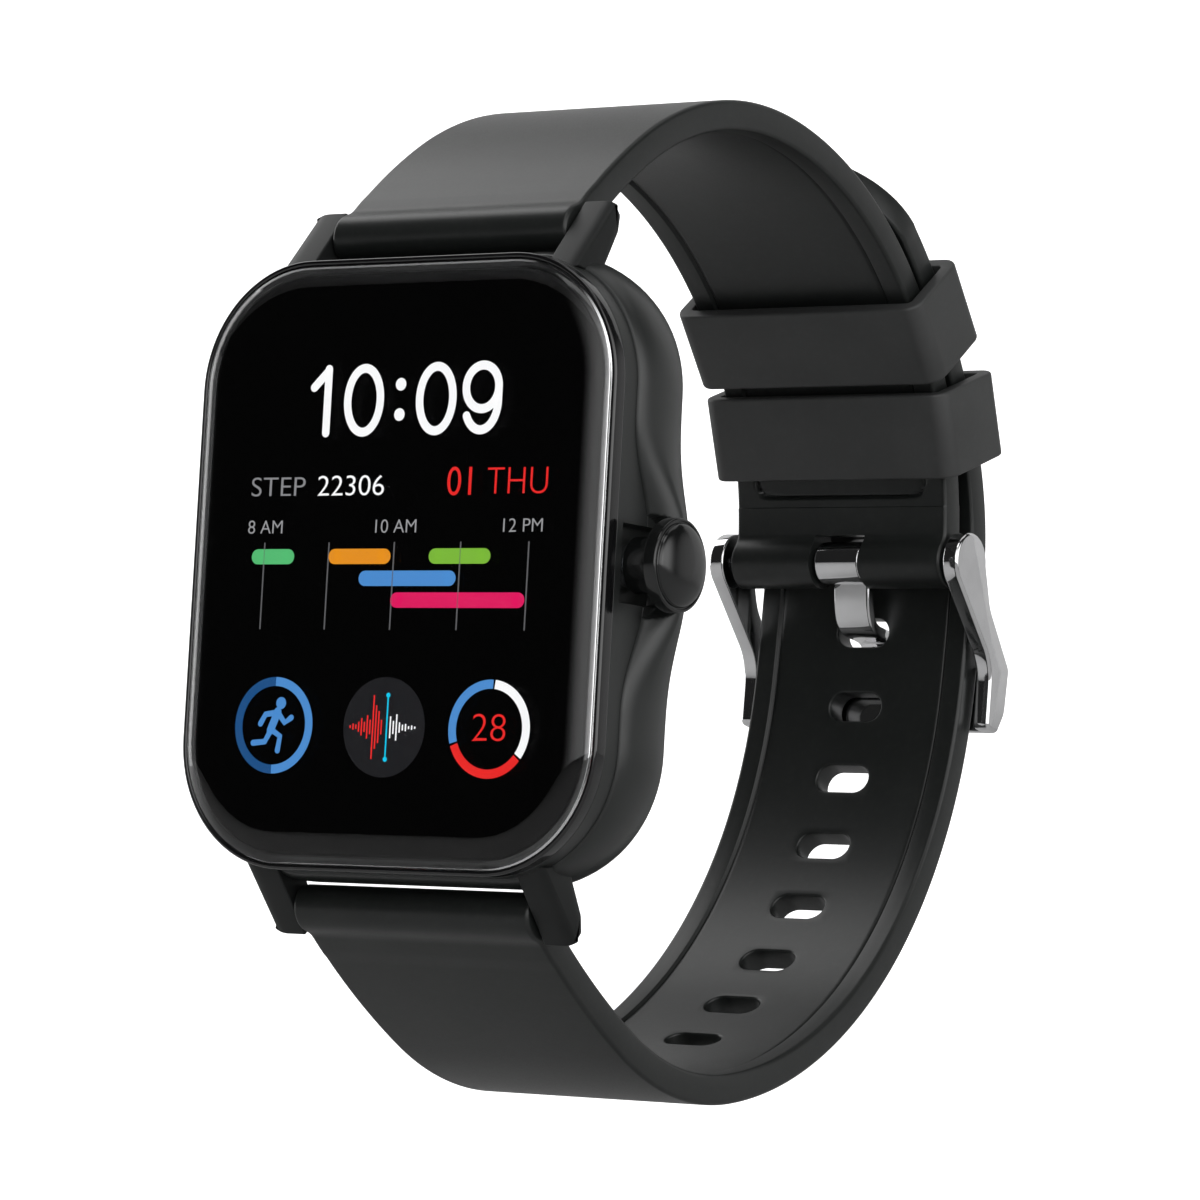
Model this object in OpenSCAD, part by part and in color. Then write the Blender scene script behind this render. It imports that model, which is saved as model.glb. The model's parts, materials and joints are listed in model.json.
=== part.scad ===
// Smartwatch with a push crown and a two-piece silicone strap, buckled.
// X points to 3 o'clock (the crown), Y points back from the display into the wrist, Z points to 12 o'clock.
// The origin is the centre of the rear cover's flat face.

/* [Case] */
// Width of the flat band of the case
case_w = 35.2; // [30:0.1:46]
// Height of the flat band of the case
case_h = 42.6; // [36:0.1:54]
// Thickness from the glass to the rear cover's flat face
case_t = 10.3; // [10:0.1:14]
// Corner radius of the case
case_r = 9; // [6:0.1:12]
// Side wall of the case
wall = 2.1; // [1.8:0.1:3]
// How far the rear band bulges past the flat band
bulge = 0.6; // [0.2:0.1:1]
// Width of the flat band, front to back
flat_band = 2; // [1.5:0.1:3]
// How far the rear band draws in at its back edge
rear_draw = 0.4; // [0.2:0.1:1]

/* [Glass and display] */
// Thickness of the cover glass
glass_t = 1.6; // [1.4:0.1:2]
// Depth of the glass's rounded edge
glass_edge = 1; // [0.6:0.1:1.2]
// Width of the thin ring round the glass
bezel_w = 0.35; // [0.3:0.05:0.8]
// Gap between the glass and its ring
glass_fit = 0.06; // [0.02:0.01:0.1]
// Thickness of the adhesive gasket
gasket_t = 0.15; // [0.1:0.05:0.2]
// Thickness of the display panel
display_t = 1.4; // [1:0.1:1.8]

/* [Crown] */
// Height of the crown's axis above the case's centre
crown_z = 0.2; // [-1:0.1:1]
// Distance of the crown's axis from the rear cover's flat face
crown_depth = 5.5; // [5:0.1:6.5]
// Diameter of the crown's head
crown_d = 6.4; // [5.6:0.1:6.8]
// Diameter of the crown's collar
collar_d = 3.9; // [3.7:0.1:4.2]
// Diameter of the crown's stem
stem_d = 1.5; // [1.2:0.1:1.6]
// Travel of the crown when it is pressed
crown_travel = 0.6; // [0.4:0.1:0.7]
// How far the crown guard stands past the flat band
guard = 1.6; // [1.2:0.1:1.9]

/* [Lugs and spring bars] */
// Distance of a lug spring bar's axis past the end of the case
bar_reach = 2.4; // [2.2:0.1:3.4]
// Distance of the lug spring bars from the rear cover's flat face
bar_depth = 3.9; // [3.5:0.1:4.3]
// Width between the lugs
lug_gap = 20.4; // [18:0.1:24]
// Width of each lug
lug_w = 2.6; // [2.2:0.1:3.2]
// Diameter of a spring bar's tube
bar_d = 1.5; // [1.3:0.1:1.6]
// Diameter of a spring bar's pin tip
pin_d = 0.8; // [0.6:0.05:0.8]
// How deep a pin tip reaches into its hole
pin_reach = 0.9; // [0.7:0.1:1]
// How far a pin slides into its tube
pin_travel = 1; // [0.9:0.05:1.1]

/* [Strap] */
// Thickness of the silicone
strap_t = 2.2; // [1.8:0.1:2.7]
// Width of the strap at the buckle
strap_end_w = 19; // [16:0.1:20]
// Diameter of the tube that holds a lug spring bar
strap_tube_d = 3.3; // [3:0.1:3.6]
// Diameter of the rolled end that holds the buckle spring bar
roll_d = 4; // [3.4:0.1:4.4]
// Side play of the strap between the lugs, in total
strap_play = 0.4; // [0.3:0.1:0.6]
// Gap between the two layers of strap in the keepers
layer_gap = 0.45; // [0.4:0.05:0.8]
// Gap between the rolled end and the long strap
roll_gap = 1.1; // [0.9:0.1:1.5]
// Length of long strap laid over the short strap
overlap = 34; // [28:0.5:44]
// Spacing of the strap holes
hole_pitch = 6; // [5:0.1:7]
// Width of a strap hole, across the strap
hole_w = 4.6; // [4.2:0.1:5.4]
// Length of a strap hole, along the strap
hole_l = 2.3; // [2.2:0.1:2.6]
// Holes between the tongue and the lugs
holes_below = 7; // [3:1:8]
// Holes between the tongue and the strap's tip
holes_above = 3; // [1:1:3]

/* [Keepers] */
// Length of a keeper, along the strap
keeper_l = 6.6; // [5:0.1:7]
// Wall of a keeper on its broad sides
keeper_wall = 1.1; // [1:0.1:1.8]
// Wall of a keeper on its narrow sides
keeper_side = 1.1; // [0.9:0.1:1.6]
// Space between a keeper and the strap inside it
keeper_fit = 0.3; // [0.3:0.05:0.5]
// Distance from the buckle bar to the lower keeper
keeper_start = 7; // [5.5:0.1:8]
// Gap between the two keepers
keeper_gap = 1.6; // [1.6:0.1:3]

/* [Buckle] */
// Diameter of the buckle's round heads
head_d = 4.6; // [4:0.1:5.2]
// Thickness of the buckle's cheeks
cheek_t = 1.3; // [1.2:0.1:1.8]
// Gap between the strap's edge and a cheek
cheek_gap = 0.5; // [0.4:0.1:0.9]
// Thickness of the buckle's crossbar
crossbar_t = 1.4; // [1.2:0.1:1.8]
// Height of the buckle's crossbar, along the strap
crossbar_l = 5; // [4:0.1:6]
// Distance from the buckle bar to the crossbar, along the strap
crossbar_at = 9.8; // [9:0.1:11]
// Gap between the long strap and the crossbar
crossbar_gap = 0.4; // [0.35:0.05:0.7]
// Width of the tongue where it wraps the bar
tongue_w = 4; // [3.4:0.1:4.4]
// Width of the tongue's blade
blade_w = 3.2; // [2.6:0.1:3.4]
// Thickness of the tongue's blade
blade_t = 0.9; // [0.8:0.05:1]

/* [Rear cover and sensor] */
// Thickness of the rear cover
cover_t = 1.2; // [1:0.1:1.5]
// Diameter of the round sensor window
window_d = 18; // [15:0.1:20]
// How far the sensor window stands past the rear cover
window_rise = 0.8; // [0.5:0.1:1.1]
// Spacing of the two charging contacts
contact_pitch = 4; // [3.5:0.1:5]
// Diameter of a charging contact
contact_d = 2; // [1.6:0.1:2.4]
// Diameter of the rear screws
screw_d = 1.2; // [1:0.1:1.4]

/* [Inside] */
// Thickness of the battery
battery_t = 3; // [2.5:0.1:3.2]
// Width of the battery
battery_w = 20; // [16:0.1:21]
// Height of the battery
battery_h = 15.5; // [12:0.1:16]
// Thickness of the main board
board_t = 0.7; // [0.5:0.1:0.8]
// Diameter of the vibration motor
motor_d = 8; // [7:0.1:8]

/* [Hidden] */

$fn = 64;
over = 1;             // how far a cut runs past the solid it cuts
slip = 0.05;          // radial gap of a running fit
seat = 0.02;          // radial gap of a pressed or glued fit
air = 0.1;            // gap between parts packed inside the case

// Levels through the case, along Y
front_y = -case_t;
glass_back = front_y + glass_t;
frame_front = glass_back + gasket_t;
band_back = frame_front + flat_band;
cover_front = -cover_t;
frame_back = cover_front - gasket_t;
display_back = glass_back + display_t;
chassis_t = 0.4;
chassis_front = display_back + air;
chassis_back = chassis_front + chassis_t;
board_back = chassis_back + air + board_t;
crown_y = -crown_depth;

// Sizes in the case's plan
glass_w = case_w - 2 * (bezel_w + glass_fit);
glass_h = case_h - 2 * (bezel_w + glass_fit);
cavity_w = case_w - 2 * wall;
cavity_h = case_h - 2 * wall;
cavity_r = max(case_r - wall - 2, 1);
display_margin = 0.5;
cover_w = case_w - 2 * rear_draw;
cover_h = case_h - 2 * rear_draw;
boss_r = screw_d / 2 + 1.1;
screw_x = cavity_w / 2 - boss_r - 0.7;
screw_z = cavity_h / 2 - boss_r - 0.7;
screw_len = 3.4;

// Crown, along X
flat_x = case_w / 2;
inner_x = cavity_w / 2;
notch_floor = flat_x - 0.9;
bushing_r = 1.5;
bushing_end = notch_floor + 0.4;
collar_start = notch_floor + crown_travel + air / 2;
head_back = flat_x + guard + 0.3;
head_t = 1.4;
dome = 0.8;
clip_t = 0.35;
encoder_t = 0.6;
stem_end = inner_x - air / 2 - clip_t - encoder_t - air;
collar_bore = bushing_r + 0.1;
spring_room = collar_start + 1.7;

// Spring bars
bar_z = case_h / 2 + bar_reach;
bar_y = -bar_depth;
neck_r = pin_d / 2;
plunger_r = neck_r + 0.12;
bar_bore = plunger_r + slip;
bar_lip = 0.5;
plunger_l = 1.3;

// Width of the strap at the lugs
strap_w = lug_gap - strap_play;

// The loop keeps its shape and grows with the distance between the lug spring bars
loop = bar_z / 23.7;
function grown(arcs) = [for (a = arcs) [a[0] * loop, a[1]]];

// Centre line of the short strap from the top spring bar to the buckle bar: arcs of [length, turn]
short_arcs = grown([[11, -14], [19.5, -40], [25, -45.5], [18.2, -39.5]]);
short_start = [bar_y, bar_z, 47];
short_len = short_arcs[0][0] + short_arcs[1][0] + short_arcs[2][0] + short_arcs[3][0];

// Centre line of the long strap from beside the buckle bar down towards the bottom spring bar
long_arcs = grown([[9.5, -4.5], [48, -77.5], [14, -34.5]]);

// Point reached by an arc of a length and a turn, from a point and a heading
function arc_to(p, heading, length, turn) =
    let (half = turn / 2, chord = abs(half) < 0.01 ? length : length * sin(half) / (half * PI / 180))
    [p[0] + chord * cos(heading + half), p[1] + chord * sin(heading + half)];

// Place [y, z, heading] at a distance along a chain of arcs
function along(start, arcs, s, i = 0) =
    let (whole = arcs[i][0], last = i == len(arcs) - 1, run = s <= whole || last ? s : whole,
         turn = arcs[i][1] * run / whole, q = arc_to(start, start[2], run, turn),
         place = [q[0], q[1], start[2] + turn])
    s <= whole || last ? place : along(place, arcs, s - whole, i + 1);

// Place moved outwards, across the strap, by a distance
function outward(p, d) = [p[0] - d * sin(p[2]), p[1] + d * cos(p[2]), p[2]];

// The arc, as [length, turn], that leaves a place along its heading and ends at a point
function closing_arc(p, q) =
    let (dy = q[0] - p[0], dz = q[1] - p[1], raw = atan2(dz, dy) - p[2],
         half = raw - 360 * round(raw / 360), chord = sqrt(dy * dy + dz * dz))
    [chord * (half * PI / 180) / sin(half), 2 * half];

function ease(t) = let (u = min(max(t, 0), 1)) u * u * (3 - 2 * u);

buckle_at = along(short_start, short_arcs, short_len);
keeper_far = keeper_start + 2 * keeper_l + keeper_gap;

// Distance between the two straps' centre lines, at a distance before the buckle bar
layer_step = strap_t + layer_gap;
roll_step = roll_d / 2 + roll_gap + strap_t / 2;
function layer(before) = roll_step + (layer_step - roll_step) * ease(before / (keeper_far - 4));
function short_at(before) = along(short_start, short_arcs, short_len - before);
function lapped(before) = outward(short_at(before), layer(before));

long_start = lapped(0);
long_open = along(long_start, long_arcs, long_arcs[0][0] + long_arcs[1][0] + long_arcs[2][0]);
long_last = closing_arc(long_open, [bar_y, -bar_z]);
long_chain = [long_arcs[0], long_arcs[1], long_arcs[2], long_last];
long_len = long_arcs[0][0] + long_arcs[1][0] + long_arcs[2][0] + long_last[0];
function long_at(after) = along(long_start, long_chain, after);

// Strap half-width falls in a straight line from the lugs to the buckle
function strap_half(y) =
    let (t = min(max((y - bar_y) / (buckle_at[0] - bar_y), 0), 1)) (strap_w + (strap_end_w - strap_w) * t) / 2;

// Where the tongue passes through the long strap, after the buckle bar
tongue_at = 5.1;
step = 1.5;

// --- shared shapes ---

module rounded(w, h, r) {
    square([w - 2 * r, h], center = true);
    square([w, h - 2 * r], center = true);
    for (x = [-1, 1], z = [-1, 1]) translate([x * (w / 2 - r), z * (h / 2 - r)]) circle(r = r);
}

// A plan drawn in X and Z, given a depth from y0 to y1
module slab(y0, y1) translate([0, y1, 0]) rotate([90, 0, 0]) linear_extrude(y1 - y0) children();

// A profile drawn in Y and Z, given a width centred on x = 0
module profile(w) rotate([90, 0, 90]) linear_extrude(w, center = true) children();

// A profile drawn in Y and Z, from x0 to x1
module profile_between(x0, x1) translate([x0, 0, 0]) rotate([90, 0, 90]) linear_extrude(x1 - x0) children();

module rod_x(x0, x1, r) translate([x0, 0, 0]) rotate([0, 90, 0]) cylinder(h = x1 - x0, r = r);
module rod_y(y0, y1, r) translate([0, y0, 0]) rotate([-90, 0, 0]) cylinder(h = y1 - y0, r = r);
module box(x, y, z) translate([x[0], y[0], z[0]]) cube([x[1] - x[0], y[1] - y[0], z[1] - z[0]]);
module on_crown() translate([0, crown_y, crown_z]) children();

// Local axes at a place: X across the strap, Y along it, Z outwards
module at(p) translate([0, p[0], p[1]]) rotate([p[2], 0, 0]) children();

// Bar with round ends between two points of a profile
module link(p, q, rp, rq) {
    d = [q[0] - p[0], q[1] - p[1]];
    n = [-d[1], d[0]] / norm(d);
    translate(p) circle(r = rp);
    translate(q) circle(r = rq);
    polygon([p + n * rp, q + n * rq, q - n * rq, p - n * rp]);
}

// Band between two offsets of a list of places
module band(places, inside, outside) polygon(concat(
    [for (p = places) let (q = outward(p, outside)) [q[0], q[1]]],
    [for (i = [len(places) - 1:-1:0]) let (q = outward(places[i], inside)) [q[0], q[1]]]));

// Plan of the strap: its width, plus a margin on each side
module strap_plan(margin = 0) {
    deep = buckle_at[0] + 30;
    translate([0, 0, -case_h * 2]) linear_extrude(case_h * 4) polygon([
        for (y = [bar_y - 20, bar_y, buckle_at[0], deep]) [strap_half(y) + margin, y],
        for (y = [deep, buckle_at[0], bar_y, bar_y - 20]) [-strap_half(y) - margin, y]]);
}

module helix(radius, wire, x0, x1, pitch) {
    sides = 5;
    per_turn = 9;
    n = ceil((x1 - x0 - 2 * wire) / pitch * per_turn);
    ring = [for (i = [0:n]) for (k = [0:sides - 1])
        let (a = 360 * i / per_turn, b = 360 * k / sides, r = radius + wire * cos(b))
        [x0 + wire + (x1 - x0 - 2 * wire) * i / n + wire * sin(b), r * cos(a), r * sin(a)]];
    faces = concat(
        [[for (k = [0:sides - 1]) k]],
        [for (i = [0:n - 1]) for (k = [0:sides - 1])
            [i * sides + k, (i + 1) * sides + k, (i + 1) * sides + (k + 1) % sides, i * sides + (k + 1) % sides]],
        [[for (k = [sides - 1:-1:0]) n * sides + k]]);
    polyhedron(ring, faces);
}

// --- case ---

// One lug's profile round its spring bar: flat front face swept back, blunt tip, rounded back corner
module lug_profile() {
    sweep = 40;
    front = 1.05;
    back = 1.1;
    tip = 1.7;
    root = 5;
    translate([bar_y, bar_z]) rotate(-sweep)
        polygon([[-front, -root], [-front, tip - 0.15], [0.15 - front, tip], [back - 1.1, tip - 0.1],
                 [back - 0.5, tip - 0.35], [back - 0.1, tip - 1], [back, tip - 1.7], [back + 0.8, 1.6 - root]]);
}

module lugs() for (top = [0, 1], side = [0, 1]) mirror([0, 0, top]) mirror([side, 0, 0])
    profile_between(lug_gap / 2, lug_gap / 2 + lug_w) lug_profile();

module lug_holes() for (z = [-bar_z, bar_z]) translate([0, bar_y, z])
    rod_x(-lug_gap / 2 - pin_reach - air, lug_gap / 2 + pin_reach + air, neck_r + slip);

module rear_band() {
    inset = bulge + rear_draw;
    hull() {
        slab(band_back - 0.02, band_back) rounded(case_w, case_h, case_r);
        slab(band_back + 1.3, frame_back - 2) rounded(case_w + 2 * bulge, case_h + 2 * bulge, case_r + bulge);
        slab(frame_back - 0.5, frame_back) rounded(cover_w, cover_h, case_r - rear_draw);
    }
}

module guard_bump() {
    bow = 22;
    intersection() {
        slab(band_back + 0.3, frame_back - 0.9) translate([flat_x + guard - bow, crown_z]) circle(r = bow, $fn = 128);
        box([inner_x + 0.5, flat_x + guard + over], [front_y, 0], [crown_z - 9, crown_z + 9]);
    }
}

module mid_frame() color([0.12, 0.12, 0.13]) difference() {
    union() {
        slab(frame_front, band_back) rounded(case_w, case_h, case_r);
        rear_band();
        guard_bump();
        lugs();
    }
    difference() {
        slab(front_y, over) rounded(cavity_w, cavity_h, cavity_r);
        for (x = [-screw_x, screw_x], z = [-screw_z, screw_z]) translate([x, 0, z])
            rod_y(frame_back - screw_len - 1, frame_back + over, boss_r);
    }
    for (x = [-screw_x, screw_x], z = [-screw_z, screw_z]) translate([x, 0, z])
        rod_y(frame_back - screw_len, frame_back + over, screw_d / 2 + seat);
    on_crown() {
        rod_x(inner_x - over, notch_floor + over, bushing_r + seat);
        rod_x(flat_x, flat_x + guard + over, crown_d / 2 + 0.35);
        box([notch_floor, flat_x + over], [-collar_d / 2 - 0.25, collar_d / 2 + 0.5], [-2.45, 2.45]);
    }
    lug_holes();
    for (z = [-bar_z, bar_z]) translate([0, bar_y, z])
        rod_x(-strap_w / 2 - 0.2, strap_w / 2 + 0.2, strap_tube_d / 2 + 0.25);
}

module bezel_ring() color([0.05, 0.05, 0.06]) slab(front_y + glass_edge, frame_front) difference() {
    rounded(case_w, case_h, case_r);
    rounded(case_w - 2 * bezel_w, case_h - 2 * bezel_w, case_r - bezel_w);
}

// The edge drops along a quarter ellipse, in steps
module cover_glass() color([0.02, 0.02, 0.025]) {
    steps = 5;
    run = 2;
    hull() {
        slab(front_y + glass_edge, glass_back) rounded(glass_w, glass_h, case_r - bezel_w - glass_fit);
        for (i = [1:steps]) let (a = 90 * i / steps, inset = run * (1 - cos(a)), drop = glass_edge * (1 - sin(a)))
            slab(front_y + drop, front_y + drop + 0.05)
                rounded(glass_w - 2 * inset, glass_h - 2 * inset, case_r - bezel_w - glass_fit - inset, $fn = 48);
    }
}

module glass_gasket() color([0.15, 0.15, 0.15]) slab(glass_back, frame_front) difference() {
    rounded(glass_w - 0.4, glass_h - 0.4, case_r - bezel_w - 0.2);
    rounded(cavity_w, cavity_h, cavity_r);
}

module display_panel() color([0.01, 0.01, 0.02]) slab(glass_back, display_back)
    rounded(cavity_w - 2 * display_margin, cavity_h - 2 * display_margin, cavity_r);

flex_t = 0.15;
slot_z = cavity_h / 2 - 2.2;

module display_flex() color([0.75, 0.5, 0.2]) {
    box([-5, 5], [display_back, chassis_back + air], [slot_z, slot_z + flex_t]);
    box([-5, 5], [display_back, display_back + air * 0.8], [slot_z - 1.5, slot_z + flex_t]);
}

module inner_chassis() color([0.6, 0.62, 0.65]) slab(chassis_front, chassis_back) difference() {
    rounded(cavity_w - air, cavity_h - air, cavity_r);
    translate([0, slot_z]) square([11, 1.2], center = true);
    for (z = [-1, 1]) translate([0, z * 8]) circle(r = 2.5);
    translate([inner_x, crown_z]) square([2 * (inner_x - stem_end) + 0.6, 4], center = true);
}

battery_x = [-cavity_w / 2 + 0.8, -cavity_w / 2 + 0.8 + battery_w];
battery_top = 1.6;
battery_y = [chassis_back + air, chassis_back + air + battery_t];

module battery() color([0.75, 0.77, 0.8]) difference() {
    box(battery_x, battery_y, [battery_top - battery_h, battery_top]);
    box([battery_x[0] + 2, battery_x[1] - 2], [battery_y[1] - 0.1, battery_y[1] + over],
        [battery_top - battery_h + 2, battery_top - 2]);
}

board_z = [battery_top + 1, cavity_h / 2 - 3.4];

module battery_lead() color([0.8, 0.1, 0.1])
    for (x = [-9, -7]) box([x, x + 0.8], [board_back, board_back + flex_t], [battery_top, board_z[0] + 2]);

module main_board() color([0.05, 0.3, 0.15]) difference() {
    box([-inner_x + 0.4, inner_x - 0.4], [chassis_back + air, board_back], board_z);
    for (x = [-1, 1]) translate([x * (inner_x - 2.2), 0, board_z[1] - 1.6]) rod_y(front_y, 0, 0.7);
}

can_h = 1.5;
can_y = [board_back, board_back + can_h];

module shield_cans() color([0.72, 0.74, 0.76]) {
    box([-inner_x + 2, -3.5], can_y, [board_z[0] + 3, board_z[1] - 2.6]);
    box([3, 9.5], can_y, [board_z[0] + 1, board_z[0] + 6]);
    box([3, 7], [board_back, board_back + 0.9], [board_z[0] + 7, board_z[0] + 10]);
}

module antenna() color([0.85, 0.65, 0.3])
    box([-9, 9], [chassis_back + air, chassis_back + air + 3], [cavity_h / 2 - 0.4, cavity_h / 2 - 0.4 + flex_t]);

module vibration_motor() color([0.8, 0.8, 0.82])
    translate([inner_x - motor_d / 2 - 0.4, 0, battery_top - 10]) rod_y(chassis_back + air, chassis_back + air + 2.7, motor_d / 2);

switch_face = stem_end - air - 0.8;
plunger_back = switch_face - 1.4;

module side_switch() color([0.2, 0.2, 0.22]) on_crown() difference() {
    box([switch_face - 2.8, switch_face], [chassis_back - crown_y, 1.3], [-1.7, 1.7]);
    rod_x(plunger_back - crown_travel - air, switch_face + over, 0.6 + slip);
}

module switch_plunger() color([0.85, 0.85, 0.8]) on_crown() rod_x(plunger_back, stem_end - slip / 2, 0.6);

sensor_y = [cover_front - 1.5, cover_front - 0.9];
window_seat = 0.5;
ledge = 0.8;

module sensor_board() color([0.05, 0.25, 0.3]) rod_y(sensor_y[0], sensor_y[1], window_d / 2 - ledge - 0.3);

module sensor_flex() color([0.75, 0.5, 0.2]) {
    top = board_z[0] + 6.6;
    box([-1.5, 1.5], [sensor_y[0] - flex_t, sensor_y[0]], [4, top]);
    box([-1.5, 1.5], [board_back, sensor_y[0]], [top, top + flex_t]);
}

module sensor_leds() color([0.5, 0.95, 0.5])
    for (x = [-4.2, 4.2]) box([x - 0.9, x + 0.9], [sensor_y[1], sensor_y[1] + 0.5], [-0.9, 0.9]);

module photodiode() color([0.1, 0.1, 0.2]) box([-1.5, 1.5], [sensor_y[1], sensor_y[1] + 0.4], [-1.2, 1.2]);

module light_barrier() color([0.05, 0.05, 0.05]) difference() {
    rod_y(sensor_y[1], -cover_t + window_seat - air, 2.7);
    rod_y(sensor_y[1] - over, over, 2.2);
}

module sensor_window() color([0.08, 0.08, 0.1]) {
    window_r = window_d / 2 - seat;
    ball = (window_r * window_r + window_rise * window_rise) / (2 * window_rise);
    rod_y(cover_front + window_seat, 0, window_r);
    intersection() {
        translate([0, window_rise - ball, 0]) sphere(r = ball, $fn = 96);
        rod_y(-0.01, window_rise + over, window_r - 0.01);
    }
}

contact_z = -window_d / 2 - 4.2;

module rear_cover() color([0.13, 0.13, 0.14]) difference() {
    slab(cover_front, 0) rounded(cover_w, cover_h, case_r - rear_draw);
    rod_y(cover_front + window_seat - seat, over, window_d / 2);
    rod_y(cover_front - over, over, window_d / 2 - ledge);
    for (x = [-screw_x, screw_x], z = [-screw_z, screw_z]) translate([x, 0, z]) {
        rod_y(cover_front - over, over, screw_d / 2 + slip);
        rod_y(-0.7, over, screw_d + slip);
    }
    for (x = [-1, 1]) translate([x * contact_pitch / 2, 0, contact_z])
        rod_y(cover_front - over, over, contact_d / 2 + seat);
}

module rear_gasket() color([0.1, 0.1, 0.35]) slab(frame_back, cover_front) difference() {
    rounded(cover_w - 1, cover_h - 1, case_r - rear_draw - 0.5);
    rounded(cavity_w + 0.6, cavity_h + 0.6, cavity_r + 0.3);
}

module rear_screws() color([0.7, 0.7, 0.72])
    for (x = [-screw_x, screw_x], z = [-screw_z, screw_z]) translate([x, 0, z]) difference() {
        union() {
            rod_y(-0.65, -0.1, screw_d - 0.05);
            rod_y(frame_back - screw_len + 0.3, -0.6, screw_d / 2);
        }
        rod_y(-0.35, over, 0.4, $fn = 6);
    }

module charging_contacts() color([0.85, 0.7, 0.35])
    for (x = [-1, 1]) translate([x * contact_pitch / 2, 0, contact_z]) rod_y(cover_front - 0.5, 0, contact_d / 2);

module charging_magnets() color([0.75, 0.75, 0.78])
    for (x = [-1, 1]) translate([x * 7, 0, contact_z]) rod_y(cover_front - 1.4, cover_front - air, 2.3);

// --- crown ---

module crown_bushing() color([0.7, 0.72, 0.74]) on_crown() difference() {
    rod_x(inner_x, bushing_end, bushing_r);
    rod_x(inner_x - over, bushing_end + over, stem_d / 2 + slip);
    rod_x(bushing_end - 1, bushing_end - 0.35, stem_d / 2 + 0.5);
}

module crown_cap() color([0.1, 0.1, 0.11]) on_crown() difference() {
    union() {
        rod_x(collar_start, head_back + 0.2, collar_d / 2);
        rotate([0, 90, 0]) rotate_extrude() polygon([
            [0, head_back], [crown_d / 2 - 0.5, head_back], [crown_d / 2, head_back + 0.4],
            [crown_d / 2, head_back + head_t],
            for (i = [1:8]) [crown_d / 2 * cos(90 * i / 8), head_back + head_t + dome * sin(90 * i / 8)]]);
    }
    rod_x(collar_start - over, spring_room, collar_bore);
    rod_x(collar_start - over, head_back + 0.6, stem_d / 2 + seat);
}

module crown_stem() color([0.75, 0.76, 0.78]) on_crown() rod_x(stem_end, head_back + 0.6 - seat, stem_d / 2);

module crown_seal() color([0.05, 0.05, 0.05]) on_crown() rotate([0, 90, 0])
    translate([0, 0, bushing_end - 0.675]) rotate_extrude() translate([stem_d / 2 + 0.26, 0]) circle(r = 0.22, $fn = 24);

module crown_clip() color([0.8, 0.8, 0.8]) on_crown() difference() {
    rod_x(inner_x - air / 2 - clip_t, inner_x - air / 2, stem_d / 2 + 0.5);
    rod_x(inner_x - 2, inner_x + over, stem_d / 2 + seat);
    box([inner_x - 2, inner_x + over], [0, 3], [-0.45, 0.45]);
}

module crown_encoder() color([0.3, 0.3, 0.32]) on_crown() difference() {
    rod_x(stem_end + air / 2, stem_end + air / 2 + encoder_t, stem_d / 2 + 0.55);
    rod_x(stem_end - over, inner_x, stem_d / 2 + seat);
}

// Drawn at its pressed length, so that the cap can come down to it
module crown_spring() color([0.8, 0.8, 0.82]) on_crown()
    helix(stem_d / 2 + 0.4, 0.12, bushing_end, spring_room - crown_travel - slip, 0.3);

// --- spring bars ---

// Half-length of a bar's tube, for a gap between the two walls that hold its pins
function tube_half(gap) = gap / 2 - 0.35;

module bar_tube(gap) color([0.75, 0.76, 0.78]) difference() {
    rod_x(-tube_half(gap), tube_half(gap), bar_d / 2);
    rod_x(-tube_half(gap) + bar_lip, tube_half(gap) - bar_lip, bar_bore);
    rod_x(-gap, gap, neck_r + slip);
}

module bar_pin(gap) color([0.8, 0.8, 0.82]) {
    shoulder = tube_half(gap) - bar_lip - slip;
    rod_x(shoulder - plunger_l, shoulder, plunger_r);
    rod_x(shoulder - 0.1, gap / 2 + pin_reach, neck_r);
}

// Drawn at the length it has with both pins pushed in
module bar_spring(gap) color([0.8, 0.8, 0.82]) {
    end = tube_half(gap) - bar_lip - slip - plunger_l - pin_travel - air;
    helix(plunger_r - 0.1, 0.09, -end, end, 0.9);
}

module at_top() translate([0, bar_y, bar_z]) children();
module at_bottom() translate([0, bar_y, -bar_z]) children();
module at_buckle() translate([0, buckle_at[0], buckle_at[1]]) children();

cheek_in = strap_end_w / 2 + cheek_gap;

module top_bar_tube() at_top() bar_tube(lug_gap);
module top_bar_spring() at_top() bar_spring(lug_gap);
module top_bar_pin_right() at_top() bar_pin(lug_gap);
module top_bar_pin_left() at_top() mirror([1, 0, 0]) bar_pin(lug_gap);
module bottom_bar_tube() at_bottom() bar_tube(lug_gap);
module bottom_bar_spring() at_bottom() bar_spring(lug_gap);
module bottom_bar_pin_right() at_bottom() bar_pin(lug_gap);
module bottom_bar_pin_left() at_bottom() mirror([1, 0, 0]) bar_pin(lug_gap);
module buckle_bar_tube() at_buckle() bar_tube(2 * cheek_in);
module buckle_bar_spring() at_buckle() bar_spring(2 * cheek_in);
module buckle_bar_pin_right() at_buckle() bar_pin(2 * cheek_in);
module buckle_bar_pin_left() at_buckle() mirror([1, 0, 0]) bar_pin(2 * cheek_in);

// --- strap ---

bore_r = bar_d / 2 + slip;

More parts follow.
